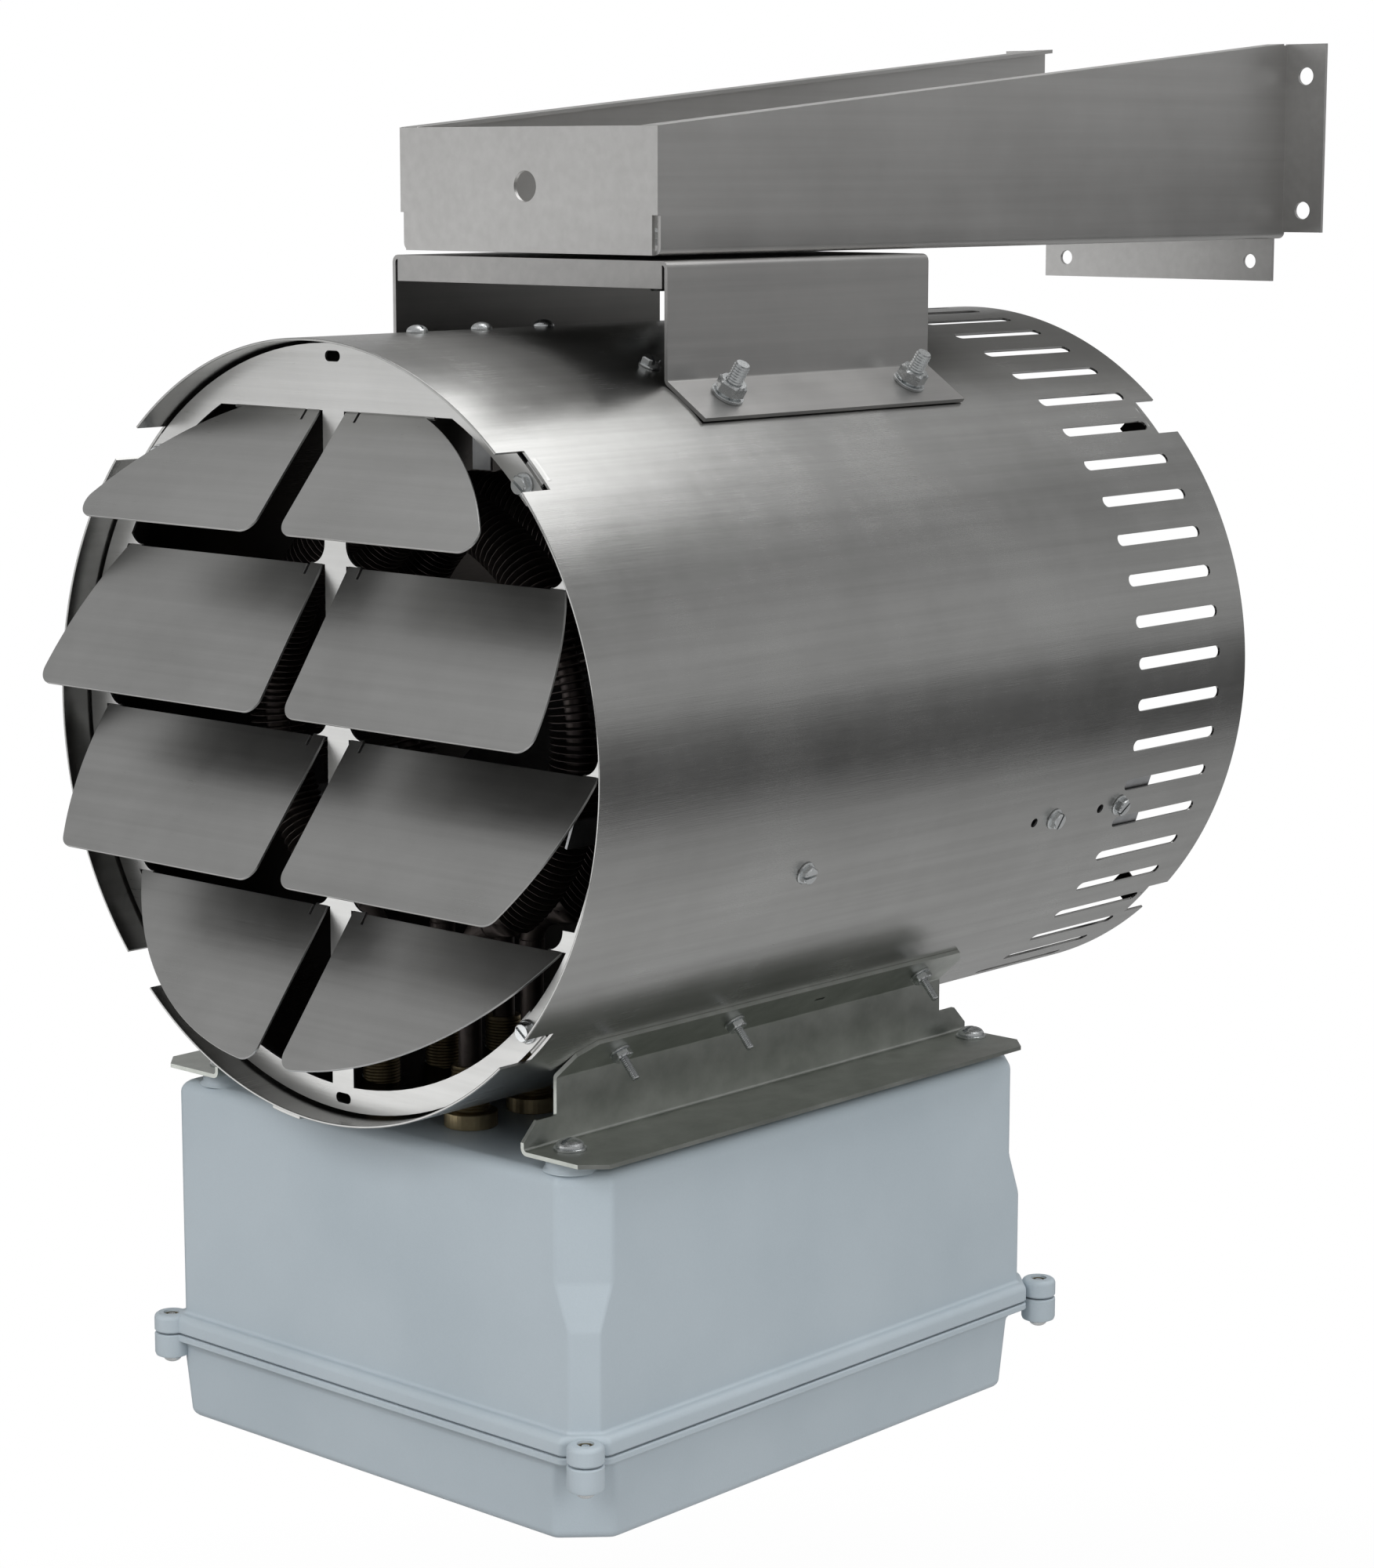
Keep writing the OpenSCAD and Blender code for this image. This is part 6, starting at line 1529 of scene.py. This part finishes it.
for word, y in zip(("front", "middle", "rear"), ELEMENT_PLACES):
    node = "element_" + word
    sheath = grown(node + "_sheath", seed_path("ring_path", ring_path(y)), tube_tree,
                   Radius=SHEATH_R * MM, Sides=16, Material=element_steel)
    settle(sheath, node)
    places = [drum_point(RING_R * math.cos(turn), y, RING_R * math.sin(turn)) for turn in fin_turns]
    fins = set_out(node, node + "_fins", fastener("fin", fin_profile, segments=16, ring=True),
                   places, fin_aims)
    places, aims = [], []
    for side in (-1, 1):
        a = math.radians(RING_END)
        places += [drum_point(side * RING_R * math.cos(a), y, RING_R * math.sin(a)),
                   drum_point(side * LEG_X, y, BEND_Z)]
        aims += [Vector((-side * math.sin(a), 0, math.cos(a))), Vector((0, 0, 1))]
    set_out(node, node + "_sleeves", fastener("sleeve", sleeve_profile, ring=True), places, aims)
    print(f"{node}: sheath {triangles(sheath)}, {fin_count} fins {triangles(fins)} triangles")

# %% The fittings that carry the legs through drum and box
low, high, flange = -195.6, -157.8, -179.4
profile = [(SHEATH_R, low), *hexagon_part(23, low, low + 5, True), (8.6, low + 5),
           (9.0, BOX_TOP - 3.2), (9.0, BOX_TOP), (12.2, BOX_TOP), (12.5, BOX_TOP + 0.3),
           (12.5, flange - 0.3), (12.2, flange)]
profile += thread(9.0, flange, high - 0.6, 1.5)
profile += [(8.2, high), (SHEATH_R + 0.4, high), (SHEATH_R, high - 0.4)]
fitting = fastener("fitting", profile, segments=36, ring=True)
fasten("element_fittings", fitting, high, UP, spin_share=0.3)

# %% [markdown]
# ## The fan and its motor
# Five pressed blades stand on a small disc. A pressed blade is not flat: it is hollow
# like a spoon, stands steeper at its root than at its tip, and has rounded corners. One
# blade is made as a thin curved slab and set out five times round the shaft. The motor
# is a turned body with end bells and a row of cooling ribs, which repeat, so they are
# set out as well.

# %% One fan blade as a curved slab, set out five times
FAN_Y, FAN_R, FAN_CHORD, FAN_PITCH, FAN_T = 250.0, 160.0, 96.0, 28.0, 2.0
FAN_BLADES, BLADE_ROOT, CAMBER, TIP_GAP = 5, 31.0, 3.0, 1.2


def fan_blade(name, rows=14, columns=12):
    """A slab seen from the shaft: Z outwards, X along the drum, Y across."""
    work = bmesh.new()
    sheets = []
    for lift in (-FAN_T / 2, FAN_T / 2):
        sheet = []
        for i in range(rows + 1):
            along = i / rows
            radius = BLADE_ROOT + (FAN_R - TIP_GAP - BLADE_ROOT) * along
            pitch = math.radians(FAN_PITCH + 4 * (1 - along) - 1.5)
            corner = 1 - 0.10 * max(0.0, (along - 0.82) / 0.18) ** 2
            line = []
            for j in range(columns + 1):
                across = (j / columns - 0.5) * FAN_CHORD * corner * (0.80 + 0.18 * along)
                camber = CAMBER * (1 - (2 * j / columns - 1) ** 2)
                out = math.sqrt(max(radius ** 2 - (across * math.cos(pitch)) ** 2, 1.0))
                x = across * math.sin(pitch) + (camber + lift) * math.cos(pitch)
                y = across * math.cos(pitch) - (camber + lift) * math.sin(pitch)
                line.append(work.verts.new(item_place(x, y, out)))
            sheet.append(line)
        sheets.append(sheet)
    for sheet in sheets:
        for i in range(rows):
            for j in range(columns):
                work.faces.new((sheet[i][j], sheet[i][j + 1], sheet[i + 1][j + 1], sheet[i + 1][j]))
    under, upper = sheets
    rim = [(0, j) for j in range(columns)] + [(i, columns) for i in range(rows)]
    rim += [(rows, j) for j in range(columns, 0, -1)] + [(i, 0) for i in range(rows, 0, -1)]
    for (i, j), (k, m) in zip(rim, rim[1:] + rim[:1]):
        work.faces.new((under[i][j], under[k][m], upper[k][m], upper[i][j]))
    return from_bmesh(name, work)


def turned_piece(node, name, profile, y, segments=96, ring=True):
    """A solid turned about the shaft's axis, that stands for the node."""
    made = turned_solid(name, profile, (0, y, 0), axis="Y", segments=segments, ring=ring)
    return settle(evenly_shaded(made), node)


aims = [outward(360 / FAN_BLADES * k) for k in range(FAN_BLADES)]
blades = set_out("fan_wheel", "fan_wheel_blades", softened(fan_blade("fan_blade"), 0.5, 2, 50),
                 [drum_point(0, FAN_Y + 1, 0)] * FAN_BLADES, aims,
                 sides=[Vector((0, 1, 0))] * FAN_BLADES)
SHAFT_BORE = 7.95
disc = turned_piece("fan_wheel", "fan_wheel_disc", [
    (SHAFT_BORE, 0.3), (8.3, 0), (43.4, 0), (44, 0.5), (44, 2.0), (43.4, 2.5), (8.3, 2.5),
    (SHAFT_BORE, 2.2)], FAN_Y)
hub = turned_piece("fan_hub", "fan_hub_turned", [
    (SHAFT_BORE, 2.5), (29.5, 2.5), (30, 3.0), (30, 7.0), (29.5, 7.5), (20.5, 7.5), (19.3, 8.2),
    (19, 9.2), (19, 27.6), (18.1, 28.5), (8.6, 28.5), (SHAFT_BORE, 27.9)], FAN_Y)
print("fan:", triangles(blades), "+", triangles(disc), "+", triangles(hub), "triangles")

# %% The motor: body, bells, nose and cooling ribs
MOTOR_Y, BELL_R, BELL_ROUND, RIB_R, RIB_HALF = 298.0, 54.0, 6, 56.0, 46.6
profile = [(SHAFT_BORE, -7.6), (8.4, -8), (19.4, -8), (20, -7.4), (20, -1.2), (21.2, 0), (46, 0)]
profile += [(BELL_R - BELL_ROUND + BELL_ROUND * math.sin(t), BELL_ROUND - BELL_ROUND * math.cos(t))
            for t in (math.pi / 2 * i / 6 for i in range(1, 7))]
profile += [(BELL_R, 17.2), (BELL_R + 0.8, 18), (57.2, 18), (57.6, 18.4), (57.6, 111.6),
            (57.2, 112), (BELL_R + 0.8, 112), (BELL_R, 112.8)]
profile += [(BELL_R - BELL_ROUND + BELL_ROUND * math.cos(t), 124 + BELL_ROUND * math.sin(t))
            for t in (math.pi / 2 * i / 6 for i in range(7))]
profile += [(30, 130), (26, 127.5), (0, 127.5)]
body = turned_solid("motor_body", profile, (0, MOTOR_Y, 0), axis="Y", segments=96)
bore = turned_solid("bore", [(SHAFT_BORE, -9), (SHAFT_BORE, 57)], (0, MOTOR_Y, 0), axis="Y",
                    segments=96)
body = settle(evenly_shaded(combined(body, bore, "DIFFERENCE"), 40), "motor")
rib_outline = [item_place(-RIB_HALF, y, z) for y, z in
               ((-1.0, 0), (-0.7, 3.4), (-0.35, 4.0), (0.35, 4.0), (0.7, 3.4), (1.0, 0))]
rib = softened(pushed_outline("rib", rib_outline, Vector((2 * RIB_HALF * MM, 0, 0))), 0.15, 1, 60)
rib_turns = range(-54, 235, 8)
ribs = set_out("motor", "motor_ribs", rib, [round_drum(a, RIB_R, MOTOR_Y + 65) for a in rib_turns],
               [outward(a) for a in rib_turns], sides=[Vector((0, 1, 0))] * len(rib_turns))
print("motor:", triangles(body), "+", triangles(ribs), "triangles")

# %% The motor's foot with its web, under the body
foot_half, web_half, web_top = 48.0, 24.0, -36
foot_y, foot_l, foot_t = 316.0, 84.0, 5.0
deck = float(solids_of("motor")[0][:, 2].min()) / MM - DRUM_Z
right = [(foot_half, deck), (foot_half, deck + foot_t - 1), (foot_half - 1, deck + foot_t),
         (web_half + 3, deck + foot_t), (web_half, deck + foot_t + 3), (web_half, web_top)]
outline = [(-foot_half, deck)] + right + [(-x, z) for x, z in right[:0:-1]]
outline = [drum_point(x, foot_y, z) for x, z in outline]
foot = pushed_outline("motor_foot", outline, Vector((0, foot_l * MM, 0)))
spots = [(x, foot_y + foot_l / 2 + y) for x in (-40, 40) for y in (-32, 32)]
holes = turned_at(spots, [(3.4, -1), (3.4, 9)], deck, 24)
foot = softened(combined(foot, united("holes", holes), "DIFFERENCE"), 0.3)
foot.data.materials.clear()
settle(foot, "motor")
print("motor foot:", triangles(foot), "triangles, deck at z", round(deck, 2))

# %% The shaft, and the devices in the box with their edges broken
ends = solids_of("motor_shaft")[0][:, 1] / MM
shaft_profile = [(0, ends.min()), (7.0, ends.min()), (7.9, ends.min() + 0.9),
                 (7.9, ends.max() - 0.4), (7.5, ends.max()), (0, ends.max())]
turned_piece("motor_shaft", "motor_shaft_turned", [(r, y - DRUM_Y) for r, y in shaft_profile], 0,
             64, ring=False)
dress({"contactor": 0.8, "transformer": 0.6, "terminal_block": 0.5, "earth_bar": 0.4, "cutout": 0.5,
       "lid_gasket": 0.2})
